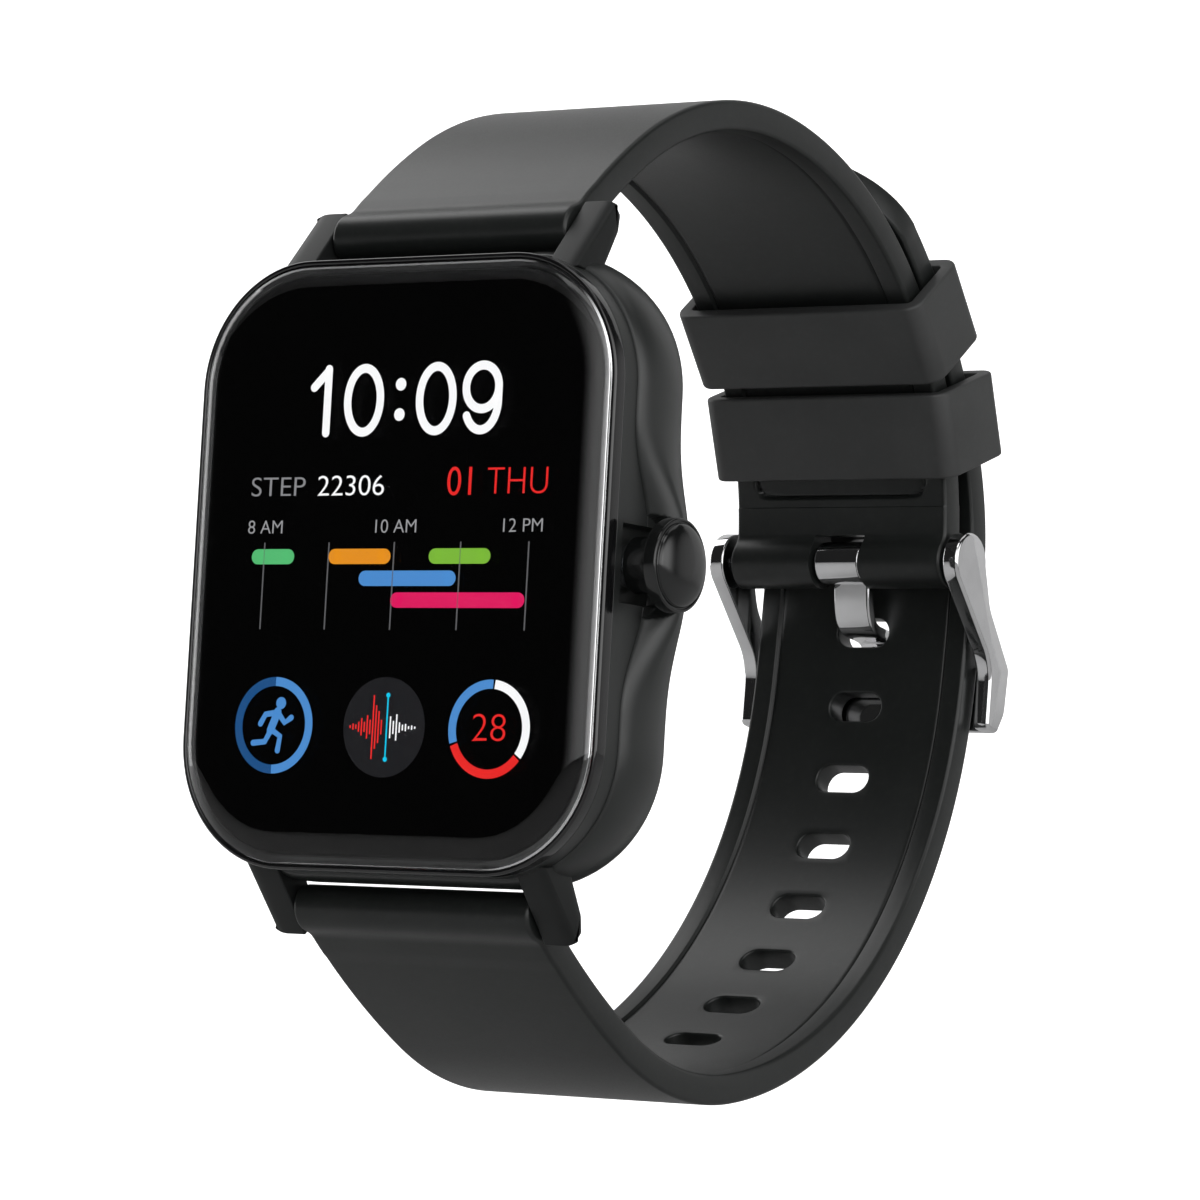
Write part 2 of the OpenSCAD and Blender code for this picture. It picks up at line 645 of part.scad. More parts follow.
module strap_short() color([0.16, 0.16, 0.17]) difference() {
    intersection() {
        union() {
            profile(strap_w + 2)
                band([for (i = [0:ceil(short_len / step)]) short_at(short_len * (1 - i / ceil(short_len / step)))],
                     -strap_t / 2, strap_t / 2);
            at_top() rod_x(-strap_w / 2 - 1, strap_w / 2 + 1, strap_tube_d / 2);
            at_buckle() rod_x(-strap_w / 2 - 1, strap_w / 2 + 1, roll_d / 2);
        }
        strap_plan();
    }
    at_top() rod_x(-strap_w, strap_w, bore_r);
    at_buckle() rod_x(-strap_w, strap_w, bore_r);
    at(buckle_at) box([-tongue_w / 2 - 0.25, tongue_w / 2 + 0.25], [-2.1, roll_d], [-roll_d, roll_d]);
}

// The long strap's places, from its tip to the bottom spring bar
long_places = concat(
    [for (i = [0:ceil(overlap / step)]) lapped(overlap * (1 - i / ceil(overlap / step)))],
    [for (i = [1:ceil(long_len / step)]) long_at(long_len * i / ceil(long_len / step))]);

// Place of a strap hole, counted from the tongue's hole towards the lugs
function hole_place(i) = let (after = tongue_at + i * hole_pitch) after >= 0 ? long_at(after) : lapped(-after);

module strap_hole() {
    r = hole_l / 2;
    reach = strap_t / 2 + 0.6;
    for (x = [-1, 1]) translate([x * (hole_w / 2 - r), 0, -reach]) cylinder(h = 2 * reach, r = r, $fn = 32);
    translate([-hole_w / 2 + r, -r, -reach]) cube([hole_w - 2 * r, hole_l, 2 * reach]);
}

module strap_long() color([0.16, 0.16, 0.17]) difference() {
    intersection() {
        union() {
            profile(strap_w + 2) band(long_places, -strap_t / 2, strap_t / 2);
            at_bottom() rod_x(-strap_w / 2 - 1, strap_w / 2 + 1, strap_tube_d / 2);
        }
        strap_plan();
    }
    at_bottom() rod_x(-strap_w, strap_w, bore_r);
    for (i = [-holes_above:holes_below]) at(hole_place(i)) strap_hole();
    tip_r = strap_end_w / 2 + 0.15;
    at(lapped(overlap - tip_r)) translate([0, 0, -4]) difference() {
        translate([-strap_w, -tip_r - 4, 0]) cube([2 * strap_w, tip_r + 4, 8]);
        translate([0, 0, -over]) cylinder(h = 8 + 2 * over, r = tip_r);
    }
}

module keeper(from) {
    n = 5;
    places = [for (i = [0:n]) short_at(from + keeper_l * (1 - i / n))];
    under = -strap_t / 2 - keeper_fit;
    over_strap = layer(from) + strap_t / 2 + keeper_fit;
    margin = keeper_fit + keeper_side;
    half = strap_half(short_at(from)[0]);
    difference() {
        profile(2 * (half + margin)) band(places, under - keeper_wall, over_strap + keeper_wall);
        profile(2 * (half + keeper_fit)) band(
            [for (i = [-1:n + 1]) short_at(from + keeper_l * (1 - i / n))], under, over_strap);
    }
}

module keeper_lower() color([0.18, 0.18, 0.19]) keeper(keeper_start);
module keeper_upper() color([0.18, 0.18, 0.19]) keeper(keeper_start + keeper_l + keeper_gap);

// --- buckle ---

crossbar_in = strap_t / 2 + crossbar_gap;
function crossbar_place(along_by, out_by) =
    let (p = outward(long_at(crossbar_at + along_by), crossbar_in + out_by)) [p[0], p[1]];
bar_point = [buckle_at[0], buckle_at[1]];

module buckle_frame() color([0.8, 0.8, 0.82]) difference() {
    union() {
        for (side = [0, 1]) mirror([side, 0, 0]) profile_between(cheek_in, cheek_in + cheek_t) {
            link(bar_point, crossbar_place(-crossbar_l / 2 - 0.4, -0.6), head_d / 2, 1.1);
            polygon([crossbar_place(-crossbar_l / 2, crossbar_t), crossbar_place(crossbar_l / 2, crossbar_t),
                     crossbar_place(crossbar_l / 2, -1.6), crossbar_place(-crossbar_l / 2, -1.6)]);
        }
        profile(2 * cheek_in + 0.02) polygon([
            crossbar_place(-crossbar_l / 2, crossbar_t), crossbar_place(crossbar_l / 2, crossbar_t),
            crossbar_place(crossbar_l / 2, 0), crossbar_place(-crossbar_l / 2, 0)]);
    }
    at_buckle() rod_x(-cheek_in - pin_reach - air, cheek_in + pin_reach + air, neck_r + slip);
}

// The tongue's blade: down from the bar, out through the hole and down onto the crossbar's outer face
through = long_at(tongue_at);
function through_point(out_by, along_by) =
    let (p = outward(through, out_by), h = through[2]) [p[0] + along_by * cos(h), p[1] + along_by * sin(h)];

module buckle_tongue() color([0.82, 0.82, 0.84]) {
    r = blade_t / 2;
    ring_r = bore_r + 0.85;
    rest = crossbar_in + crossbar_t + air + r;
    points = [[bar_point[0] + ring_r - r - 0.02, bar_point[1] - 0.3], through_point(-2.55, -0.9),
              through_point(-1.5, 0), through_point(1.6, 0), through_point(rest - 0.2, 0.9),
              crossbar_place(-1.2, crossbar_t + air + r), crossbar_place(0.8, crossbar_t + air + r)];
    difference() {
        union() {
            at_buckle() rod_x(-tongue_w / 2, tongue_w / 2, ring_r);
            profile(blade_w) for (i = [0:len(points) - 2]) link(points[i], points[i + 1], r, r);
        }
        at_buckle() rod_x(-tongue_w, tongue_w, bore_r);
    }
}

mid_frame();
bezel_ring();
cover_glass();
glass_gasket();
display_panel();
display_flex();
inner_chassis();
battery();
battery_lead();
main_board();
shield_cans();
antenna();
vibration_motor();
side_switch();
switch_plunger();
sensor_board();
sensor_flex();
sensor_leds();
photodiode();
light_barrier();
sensor_window();
rear_cover();
rear_gasket();
rear_screws();
charging_contacts();
charging_magnets();
crown_bushing();
crown_cap();
crown_stem();
crown_seal();
crown_clip();
crown_encoder();
crown_spring();
top_bar_tube();
top_bar_spring();
top_bar_pin_left();
top_bar_pin_right();
bottom_bar_tube();
bottom_bar_spring();
bottom_bar_pin_left();
bottom_bar_pin_right();
buckle_bar_tube();
buckle_bar_spring();
buckle_bar_pin_left();
buckle_bar_pin_right();
strap_short();
strap_long();
keeper_upper();
keeper_lower();
buckle_frame();
buckle_tongue();
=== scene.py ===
import json
import math

import bmesh
import bpy
import numpy as np
from mathutils import Matrix, Vector


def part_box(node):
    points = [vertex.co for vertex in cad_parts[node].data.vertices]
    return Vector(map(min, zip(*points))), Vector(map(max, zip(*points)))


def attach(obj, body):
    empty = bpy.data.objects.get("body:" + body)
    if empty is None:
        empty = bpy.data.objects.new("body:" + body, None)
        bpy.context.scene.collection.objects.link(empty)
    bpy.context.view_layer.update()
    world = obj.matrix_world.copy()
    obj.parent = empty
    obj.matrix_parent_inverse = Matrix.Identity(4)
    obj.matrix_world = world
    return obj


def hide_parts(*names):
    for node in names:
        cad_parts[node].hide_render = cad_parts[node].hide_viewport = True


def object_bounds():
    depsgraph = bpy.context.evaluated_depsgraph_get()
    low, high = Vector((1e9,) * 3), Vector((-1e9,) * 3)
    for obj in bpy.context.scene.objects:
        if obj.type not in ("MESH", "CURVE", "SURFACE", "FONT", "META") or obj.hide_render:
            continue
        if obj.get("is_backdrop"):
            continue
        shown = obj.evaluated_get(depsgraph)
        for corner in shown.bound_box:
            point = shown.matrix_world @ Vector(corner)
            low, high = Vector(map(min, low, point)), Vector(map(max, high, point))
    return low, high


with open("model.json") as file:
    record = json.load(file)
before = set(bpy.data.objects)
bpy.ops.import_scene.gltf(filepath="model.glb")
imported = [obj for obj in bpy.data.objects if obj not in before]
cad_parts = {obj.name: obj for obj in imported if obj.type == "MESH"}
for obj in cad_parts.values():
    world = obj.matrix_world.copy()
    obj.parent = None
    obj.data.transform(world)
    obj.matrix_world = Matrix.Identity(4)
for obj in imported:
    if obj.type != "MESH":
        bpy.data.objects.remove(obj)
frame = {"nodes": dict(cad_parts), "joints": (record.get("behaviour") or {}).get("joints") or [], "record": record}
startBox = [list(corner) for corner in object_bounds()]
print("frame loaded:", len(frame["nodes"]), "nodes")

mm = 0.001  # sizes below are in millimetres
joints = {joint["name"]: joint for joint in frame["joints"]}


def jointPlace(name):  # y and z of a joint's axis, in mm
    return np.array(joints[name]["pos_m"][1:]) / mm


def nodeBox(name):  # lowest and highest corners of a CAD node, in mm
    low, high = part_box(name)
    return np.array(low) / mm, np.array(high) / mm


def gridFaces(rows, cols, loopCols=True, loopRows=False):
    # four-cornered faces between neighbouring nodes of a grid stored row by row
    r = np.arange(rows if loopRows else rows - 1)[:, None]
    c = np.arange(cols if loopCols else cols - 1)[None, :]
    r2, c2 = (r + 1) % rows, (c + 1) % cols
    return np.stack([r * cols + c, r * cols + c2, r2 * cols + c2, r2 * cols + c], -1)


def joined(shapes):
    # several (points, faces) put into one list of points and one of faces
    points, faces, count = [], [], 0
    for shapePoints, shapeFaces in shapes:
        flat = np.asarray(shapePoints, float).reshape(-1, 3)
        faces += [[int(i) + count for i in face] for face in shapeFaces]
        points.append(flat)
        count += len(flat)
    return np.concatenate(points), faces


def addPiece(name, shape, look, body, stands=(), sharpAngle=38, colours=None):
    # merges doubled points, turns faces outwards and gives the piece its finish and body
    points, faces = shape
    mesh = bpy.data.meshes.new(name)
    faceLists = faces if isinstance(faces, list) else faces.reshape(-1, faces.shape[-1]).tolist()
    mesh.from_pydata((np.asarray(points, float).reshape(-1, 3) * mm).tolist(), [], faceLists)
    if colours is not None:
        layer = mesh.color_attributes.new("glow", "FLOAT_COLOR", "POINT")
        layer.data.foreach_set("color", np.asarray(colours, np.float32).ravel())
    build = bmesh.new()
    build.from_mesh(mesh)
    bmesh.ops.remove_doubles(build, verts=build.verts, dist=2e-7)
    bmesh.ops.dissolve_degenerate(build, edges=build.edges, dist=1e-8)
    bmesh.ops.recalc_face_normals(build, faces=build.faces)
    build.to_mesh(mesh)
    build.free()
    corners = np.zeros(len(mesh.polygons), np.int32)
    mesh.polygons.foreach_get("loop_total", corners)
    mesh.polygons.foreach_set("use_smooth", corners <= 4)  # flat ends stay flat
    mesh.set_sharp_from_angle(angle=math.radians(sharpAngle))
    mesh.materials.append(looks[look])
    piece = bpy.data.objects.new(name, mesh)
    bpy.context.scene.collection.objects.link(piece)
    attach(piece, body)
    if stands:
        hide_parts(*stands)
    return piece


def roundedCorners(corners, radii, perCorner=8):
    # a closed outline whose corners are arcs tangent to both sides
    corners = np.asarray(corners, float)
    radii = np.broadcast_to(radii, len(corners))
    made = []
    for i, corner in enumerate(corners):
        before, after = corners[i - 1] - corner, corners[(i + 1) % len(corners)] - corner
        before, after = before / np.hypot(*before), after / np.hypot(*after)
        half = math.acos(np.clip(before @ after, -1, 1)) / 2
        if radii[i] < 1e-6 or half > math.radians(89):
            made.append(corner[None])
            continue
        middle = before + after
        centre = corner + middle / np.hypot(*middle) * radii[i] / math.sin(half)
        start = corner + before * radii[i] / math.tan(half) - centre
        end = corner + after * radii[i] / math.tan(half) - centre
        a0 = math.atan2(start[1], start[0])
        turn = (math.atan2(end[1], end[0]) - a0 + math.pi) % (2 * math.pi) - math.pi
        a = a0 + turn * np.linspace(0, 1, perCorner)
        made.append(centre + radii[i] * np.stack([np.cos(a), np.sin(a)], -1))
    return np.concatenate(made)


def inset(outline, depth):
    # an outline moved inwards along the mean of its neighbouring sides' normals
    normals = np.zeros(outline.shape)
    for side in (np.roll(outline, -1, 0) - outline, outline - np.roll(outline, 1, 0)):
        normals += np.stack([side[:, 1], -side[:, 0]], -1) / np.hypot(side[:, 0], side[:, 1])[:, None]
    normals /= np.hypot(normals[:, 0], normals[:, 1])[:, None]
    area = np.sum(outline[:, 0] * np.roll(outline[:, 1], -1) - np.roll(outline[:, 0], -1) * outline[:, 1])
    return outline - normals * depth * np.sign(area)


def closedFaces(rows, cols):
    # the faces of a tube-shaped grid, with one flat face on each end
    faces = gridFaces(rows, cols).reshape(-1, 4).tolist()
    return faces + [list(range(cols)), list(range((rows - 1) * cols, rows * cols))]


def plate(outline, start, end, startEdge=(0.2, 0.2), endEdge=(0.2, 0.2), axis="x", steps=5):
    # an outline carried along an axis, its two rims rounded by quarter ellipses of (length, inset)
    a = np.linspace(0, math.pi / 2, steps)
    back = a[::-1]
    levels = np.concatenate([start + startEdge[0] * (1 - np.sin(back)), end - endEdge[0] * (1 - np.sin(a))])
    depths = np.concatenate([startEdge[1] * (1 - np.cos(back)), endEdge[1] * (1 - np.cos(a))])
    rings = np.stack([inset(outline, depth) for depth in depths])
    along = np.broadcast_to(levels[:, None], rings.shape[:2])
    flat = (along, rings[..., 0]) if axis == "x" else (rings[..., 0], along)
    return np.stack([*flat, rings[..., 1]], -1).reshape(-1, 3), closedFaces(len(levels), len(outline))


def turned(profile, centre, axis="x", around=96):
    # a profile of (along, radius) turned once round an axis
    profile = np.asarray(profile, float)
    a = np.linspace(0, 2 * math.pi, around, endpoint=False)
    along = np.broadcast_to(profile[:, 0][:, None], (len(profile), around))
    p, q = profile[:, 1][:, None] * np.cos(a), profile[:, 1][:, None] * np.sin(a)
    if axis == "x":
        points = np.stack([along, centre[0] + p, centre[1] + q], -1)
    else:
        points = np.stack([centre[0] + p, along, centre[1] + q], -1)
    return points.reshape(-1, 3), gridFaces(len(profile), around).reshape(-1, 4).tolist()


def smoothStep(low, high, x):
    # rises from 0 at low to 1 at high as 3t squared less 2t cubed
    t = np.clip((np.asarray(x, float) - low) / (high - low), 0, 1)
    return t * t * (3 - 2 * t)


def arcPoints(centre, radii, start, end, count):
    # points along an ellipse's arc: cosine and sine of evenly spaced angles, in degrees
    a = np.radians(np.linspace(start, end, count))
    return np.stack([centre[0] + radii[0] * np.cos(a), centre[1] + radii[1] * np.sin(a)], -1)


def newNode(tree, kind, inputs=None, **settings):
    # a shader node with its settings, each input linked to an output or given a value
    node = tree.nodes.new("ShaderNode" + kind)
    for setting, value in settings.items():
        setattr(node, setting, value)
    for socket, value in (inputs or {}).items():
        if isinstance(value, bpy.types.NodeSocket):
            tree.links.new(value, node.inputs[socket])
        else:
            node.inputs[socket].default_value = value
    return node


def nodeGroup(name, inputs, outputs):
    # a node group with named sockets, and the sockets that its own nodes start from and end at
    group = bpy.data.node_groups.new(name, "ShaderNodeTree")
    for socketName, kind, value in inputs:
        socket = group.interface.new_socket(name=socketName, in_out="INPUT", socket_type="NodeSocket" + kind)
        if value is not None:
            socket.default_value = value
    for socketName, kind in outputs:
        group.interface.new_socket(name=socketName, in_out="OUTPUT", socket_type="NodeSocket" + kind)
    return group, group.nodes.new("NodeGroupInput").outputs, group.nodes.new("NodeGroupOutput").inputs


def linked(tree, *pairs):  # joins each pair's output to its input
    for source, target in pairs:
        tree.links.new(source, target)


def mottleGroup():
    # two noises: a broad one blends the colours, a fine one varies the roughness about its middle
    group, given, result = nodeGroup("mottle", [
        ("Vector", "Vector", None), ("Colour", "Color", None), ("Second Colour", "Color", None),
        ("Broad Scale", "Float", 0.2), ("Fine Scale", "Float", 6.0), ("Roughness", "Float", 0.5),
        ("Roughness Change", "Float", 0.08)], [("Colour", "Color"), ("Roughness", "Float")])
    broad = newNode(group, "TexNoise", {"Vector": given["Vector"], "Scale": given["Broad Scale"], "Detail": 4})
    fine = newNode(group, "TexNoise", {"Vector": given["Vector"], "Scale": given["Fine Scale"], "Detail": 3})
    level = newNode(group, "MapRange", {"Value": broad.outputs["Fac"], "From Min": 0.35, "From Max": 0.65})
    mix = newNode(group, "Mix", {"Factor": level.outputs["Result"], "A": given["Colour"],
                                 "B": given["Second Colour"]}, data_type="RGBA")
    centred = newNode(group, "Math", {0: fine.outputs["Fac"], 1: 0.5}, operation="SUBTRACT")
    change = newNode(group, "Math", {0: centred.outputs[0], 1: given["Roughness Change"],
                                     2: given["Roughness"]}, operation="MULTIPLY_ADD")
    linked(group, (mix.outputs["Result"], result["Colour"]), (change.outputs[0], result["Roughness"]))
    return group


def skinGroup():
    # moulded or blasted skin: fine cells added to soft noise, as a bump normal
    group, given, result = nodeGroup("skin", [
        ("Vector", "Vector", None), ("Scale", "Float", 8.0), ("Strength", "Float", 0.1),
        ("Depth", "Float", 0.00002)], [("Normal", "Vector")])
    noise = newNode(group, "TexNoise", {"Vector": given["Vector"], "Scale": given["Scale"], "Detail": 5})
    cells = newNode(group, "TexVoronoi", {"Vector": given["Vector"], "Scale": given["Scale"]})
    grain = newNode(group, "Math", {0: noise.outputs["Fac"], 1: cells.outputs["Distance"]}, operation="ADD")
    bump = newNode(group, "Bump", {"Height": grain.outputs[0], "Strength": given["Strength"],
                                   "Distance": given["Depth"]})
    linked(group, (bump.outputs["Normal"], result["Normal"]))
    return group


def dustGroup():
    # faint lint and dust: the peaks of a rough noise lighten a dark surface in soft specks
    group, given, result = nodeGroup("dust", [
        ("Vector", "Vector", None), ("Colour", "Color", None), ("Dust Colour", "Color", (0.25, 0.25, 0.24, 1)),
        ("Amount", "Float", 0.04)], [("Colour", "Color")])
    noise = newNode(group, "TexNoise", {"Vector": given["Vector"], "Scale": 1.6, "Detail": 8, "Roughness": 0.7})
    specks = newNode(group, "MapRange", {"Value": noise.outputs["Fac"], "From Min": 0.5, "From Max": 0.8})
    share = newNode(group, "Math", {0: specks.outputs["Result"], 1: given["Amount"]}, operation="MULTIPLY")
    mix = newNode(group, "Mix", {"Factor": share.outputs[0], "A": given["Colour"], "B": given["Dust Colour"]},
                  data_type="RGBA")
    linked(group, (mix.outputs["Result"], result["Colour"]))
    return group


groups = {"mottle": mottleGroup(), "skin": skinGroup(), "dust": dustGroup()}
looks = {}


def newLook(name, stretch=(1, 1, 1)):
    # a material whose patterns read Object coordinates, scaled so that their sizes are in mm
    look = bpy.data.materials.new(name)
    look.use_nodes = True
    tree = look.node_tree
    place = newNode(tree, "TexCoord").outputs["Object"]
    scale = newNode(tree, "Mapping", {"Vector": place, "Scale": [share / mm for share in stretch]})
    looks[name] = look
    return tree, tree.nodes["Principled BSDF"], scale.outputs["Vector"]


def surfaceLook(name, colour, second, roughness, roughChange=0.08, grain=8.0, bump=0.1, depth=0.00002, dust=0.0,
                broad=0.2, stretch=(1, 1, 1), metallic=0.0, specular=0.5, coat=0.0):
    # two mottled colours under dust, a varied roughness and a grain bump, each from its node group
    tree, shader, place = newLook(name, stretch)
    mottle = newNode(tree, "Group", {"Vector": place, "Colour": (*colour, 1), "Second Colour": (*second, 1),
                                     "Broad Scale": broad, "Roughness": roughness,
                                     "Roughness Change": roughChange}, node_tree=groups["mottle"])
    skin = newNode(tree, "Group", {"Vector": place, "Scale": grain, "Strength": bump, "Depth": depth},
                   node_tree=groups["skin"])
    dusty = newNode(tree, "Group", {"Vector": place, "Colour": mottle.outputs["Colour"], "Amount": dust},
                    node_tree=groups["dust"])
    linked(tree, (dusty.outputs["Colour"], shader.inputs["Base Color"]),
           (mottle.outputs["Roughness"], shader.inputs["Roughness"]),
           (skin.outputs["Normal"], shader.inputs["Normal"]))
    for socket, value in (("Metallic", metallic), ("Specular IOR Level", specular), ("Coat Weight", coat)):
        shader.inputs[socket].default_value = value


surfaceLook("silicone", (0.0092, 0.0108, 0.0102), (0.0115, 0.0130, 0.0124), 0.36, 0.1, grain=14, bump=0.12,
            dust=0.03)
surfaceLook("keeperSilicone", (0.036, 0.037, 0.037), (0.042, 0.043, 0.043), 0.5, 0.1, grain=14, bump=0.12,
            dust=0.03)
surfaceLook("caseCoating", (0.016, 0.0178, 0.0172), (0.02, 0.0216, 0.021), 0.36, 0.06, grain=20, bump=0.05,
            depth=0.00001, specular=0.6)
# painted shade: the lugs' copy of the case coating, a little darker and with weaker reflections
surfaceLook("lugShadedCoating", (0.014, 0.015, 0.0148), (0.018, 0.019, 0.0188), 0.4, 0.06, grain=20, bump=0.05,
            depth=0.00001, specular=0.22)
surfaceLook("crownCoating", (0.006, 0.0065, 0.0065), (0.008, 0.0085, 0.0085), 0.16, 0.04, grain=20, bump=0.02,
            depth=0.00001, specular=0.7)
surfaceLook("blackGloss", (0.006, 0.006, 0.0065), (0.008, 0.008, 0.0085), 0.1, 0.03, grain=20, bump=0.01,
            coat=0.6)
surfaceLook("buckleChrome", (0.78, 0.78, 0.79), (0.84, 0.84, 0.85), 0.08, 0.05, grain=3, bump=0.02, broad=0.4,
            metallic=1.0)
surfaceLook("steel", (0.52, 0.53, 0.55), (0.62, 0.63, 0.65), 0.24, 0.12, grain=6, bump=0.05,
            stretch=(0.2, 1, 1), metallic=1.0)
surfaceLook("rearPlastic", (0.010, 0.010, 0.011), (0.014, 0.014, 0.015), 0.22, 0.06, grain=16, bump=0.03,
            dust=0.02, coat=0.3)
surfaceLook("gasketRubber", (0.015, 0.015, 0.015), (0.025, 0.025, 0.025), 0.7, 0.1, grain=9, bump=0.2)
surfaceLook("amberFilm", (0.55, 0.28, 0.06), (0.4, 0.18, 0.04), 0.35, 0.1, grain=4, bump=0.05,
            stretch=(3, 0.4, 0.4))
surfaceLook("foilPouch", (0.5, 0.51, 0.53), (0.42, 0.43, 0.45), 0.35, 0.15, grain=1.5, bump=0.3, depth=0.00006,
            metallic=0.9)
surfaceLook("redWire", (0.5, 0.03, 0.02), (0.4, 0.02, 0.015), 0.45, 0.1, grain=8, bump=0.1)
surfaceLook("boardMask", (0.01, 0.10, 0.05), (0.02, 0.16, 0.08), 0.3, 0.1, grain=5, bump=0.15, broad=0.9,
            coat=0.4)
surfaceLook("blackPlastic", (0.02, 0.02, 0.021), (0.03, 0.03, 0.031), 0.45, 0.1, grain=12, bump=0.15)
surfaceLook("whitePlastic", (0.62, 0.62, 0.58), (0.7, 0.7, 0.66), 0.4, 0.1, grain=12, bump=0.1)
surfaceLook("ledEpoxy", (0.1, 0.55, 0.14), (0.16, 0.7, 0.2), 0.15, 0.05, grain=6, bump=0.03, coat=0.6)
surfaceLook("darkEpoxy", (0.01, 0.01, 0.03), (0.02, 0.02, 0.04), 0.12, 0.04, grain=6, bump=0.03, coat=0.6)
surfaceLook("goldPlate", (0.75, 0.5, 0.16), (0.82, 0.58, 0.22), 0.2, 0.08, grain=5, bump=0.05, metallic=1.0)
surfaceLook("nickelPlate", (0.55, 0.54, 0.52), (0.62, 0.61, 0.6), 0.2, 0.08, grain=4, bump=0.05, metallic=1.0)
surfaceLook("displayBlack", (0.0003, 0.0003, 0.0004), (0.0006, 0.0006, 0.0007), 0.6, 0.1, grain=4, bump=0.01,
            specular=0.0)


def glassLook():
    # clear cover glass: its tint and polish barely vary, and the gloss is the shader's own
    tree, shader, place = newLook("coverGlass")
    mottle = newNode(tree, "Group", {"Vector": place, "Colour": (0.96, 0.97, 0.98, 1),
                                     "Second Colour": (0.98, 0.985, 0.99, 1), "Roughness": 0.02,
                                     "Roughness Change": 0.01}, node_tree=groups["mottle"])
    linked(tree, (mottle.outputs["Colour"], shader.inputs["Base Color"]),
           (mottle.outputs["Roughness"], shader.inputs["Roughness"]))
    shader.inputs["Transmission Weight"].default_value = 1.0
    shader.inputs["IOR"].default_value = 1.5


graphics = {"brightness": 1.08, "depth": 9.17, "thickness": 0.02}


def graphicsLook():
    # lit shapes: each carries its own colour in the attribute glow, and noise dims it a little
    tree, shader, place = newLook("displayGraphics")
    colour = newNode(tree, "VertexColor", layer_name="glow").outputs["Color"]
    noise = newNode(tree, "TexNoise", {"Vector": place, "Scale": 0.3})
    level = newNode(tree, "MapRange", {"Value": noise.outputs["Fac"], "To Min": 0.96, "To Max": 1.0})
    dim = newNode(tree, "VectorMath", {0: colour, "Scale": level.outputs["Result"]}, operation="SCALE")
    linked(tree, (dim.outputs["Vector"], shader.inputs["Emission Color"]))
    shader.inputs["Base Color"].default_value = (0.002, 0.002, 0.002, 1)
    shader.inputs["Emission Strength"].default_value = graphics["brightness"]


sensorWindow = {"emitterAt": 4.2, "emitterRadius": 1.3, "photodiodeHalf": 1.7, "ringRadius": 7.6,
                "ringHalf": 0.12, "rise": 0.8}


def windowLook():
    # smoked sensor window: discs over the two emitters, a square over the photodiode and a fine ring
    tree, shader, place = newLook("sensorWindow")
    parts = newNode(tree, "SeparateXYZ", {0: place}).outputs

    def worked(operation, a, b=0.0):  # the result of a Math node
        return newNode(tree, "Math", {0: a, 1: b}, operation=operation).outputs[0]

    def distance(a, b):  # the root of the sum of both squares
        return worked("POWER", worked("ADD", worked("POWER", a, 2.0), worked("POWER", b, 2.0)), 0.5)

    x, z = worked("ABSOLUTE", parts["X"]), worked("ABSOLUTE", parts["Z"])
    fromEmitter = distance(worked("SUBTRACT", x, sensorWindow["emitterAt"]), z)
    fromRing = worked("ABSOLUTE", worked("SUBTRACT", distance(x, z), sensorWindow["ringRadius"]))
    discs = worked("LESS_THAN", fromEmitter, sensorWindow["emitterRadius"])
    square = worked("LESS_THAN", worked("MAXIMUM", x, z), sensorWindow["photodiodeHalf"])
    ring = worked("LESS_THAN", fromRing, sensorWindow["ringHalf"])
    shade = (0.006, 0.006, 0.008, 1)
    green, violet, grey = (0.05, 0.2, 0.07, 1), (0.03, 0.03, 0.07, 1), (0.05, 0.05, 0.055, 1)
    for mask, tint in ((discs, green), (square, violet), (ring, grey)):
        mix = newNode(tree, "Mix", {"Factor": mask, "A": shade, "B": tint}, data_type="RGBA")
        shade = mix.outputs["Result"]
    linked(tree, (shade, shader.inputs["Base Color"]))
    shader.inputs["Roughness"].default_value = 0.06
    shader.inputs["Coat Weight"].default_value = 0.5


glassLook()
graphicsLook()
windowLook()
print("finishes made:", len(looks))

case = {"halfWidth": 17.6, "halfHeight": 21.3, "corner": 9.0, "front": 8.55, "crease": 6.95, "crest": 4.6,
        "back": 1.35, "bulge": 0.62, "sweep": 2.2, "sweepFrom": 2.0, "sweepTo": 10.5, "sweepPower": 1.3,
        "seam": 0.06, "drop": 2.2, "rearTurn": 0.7, "rearLip": 1.2, "wall": 2.1, "bevel": (0.2, 0.25),
        "frontRim": 0.12, "fineStep": 0.09}
crownSpot = {"headRadius": 3.2, "cutGap": 0.35, "edge": 0.07, "notchHalf": 2.6, "notchFront": 2.2,
             "notchBack": 2.5, "notchDepth": 0.9, "guard": 1.35, "guardReach": 6.2, "fineReach": 0.6}
toMiddle = [0.66, 0.33, 0]  # shares of an outline left as rows close in to a flat middle
crownAt = jointPlace("crown_turn")


def outlineNodes(halfW, halfH, radius, sideZ, perCorner=22, across=18):
    # closed row of (x, z) and outward normals: right side, then anticlockwise round corners and sides
    quarter = np.linspace(0, math.pi / 2, perCorner, endpoint=False)
    top = np.linspace(halfW - radius, radius - halfW, across, endpoint=False)
    left = np.linspace(halfH - radius, radius - halfH, 44, endpoint=False)
    base, normal = [], []

    def side(x, z, n):  # a straight run, all with one normal
        base.append(np.stack(np.broadcast_arrays(np.asarray(x, float), np.asarray(z, float)), -1))
        normal.append(np.broadcast_to(np.array(n, float), base[-1].shape))

    def corner(sx, sz, start):  # a quarter circle
        n = np.stack([np.cos(quarter + start), np.sin(quarter + start)], -1)
        base.append(np.array([sx * (halfW - radius), sz * (halfH - radius)]) + radius * n)
        normal.append(n)

    side(halfW, sideZ, (1, 0))
    corner(1, 1, 0)
    side(top, halfH, (0, 1))
    corner(-1, 1, math.pi / 2)
    side(-halfW, left, (-1, 0))
    corner(-1, -1, math.pi)
    side(-top, -halfH, (0, -1))
    corner(1, -1, 1.5 * math.pi)
    return np.concatenate(base), np.concatenate(normal)


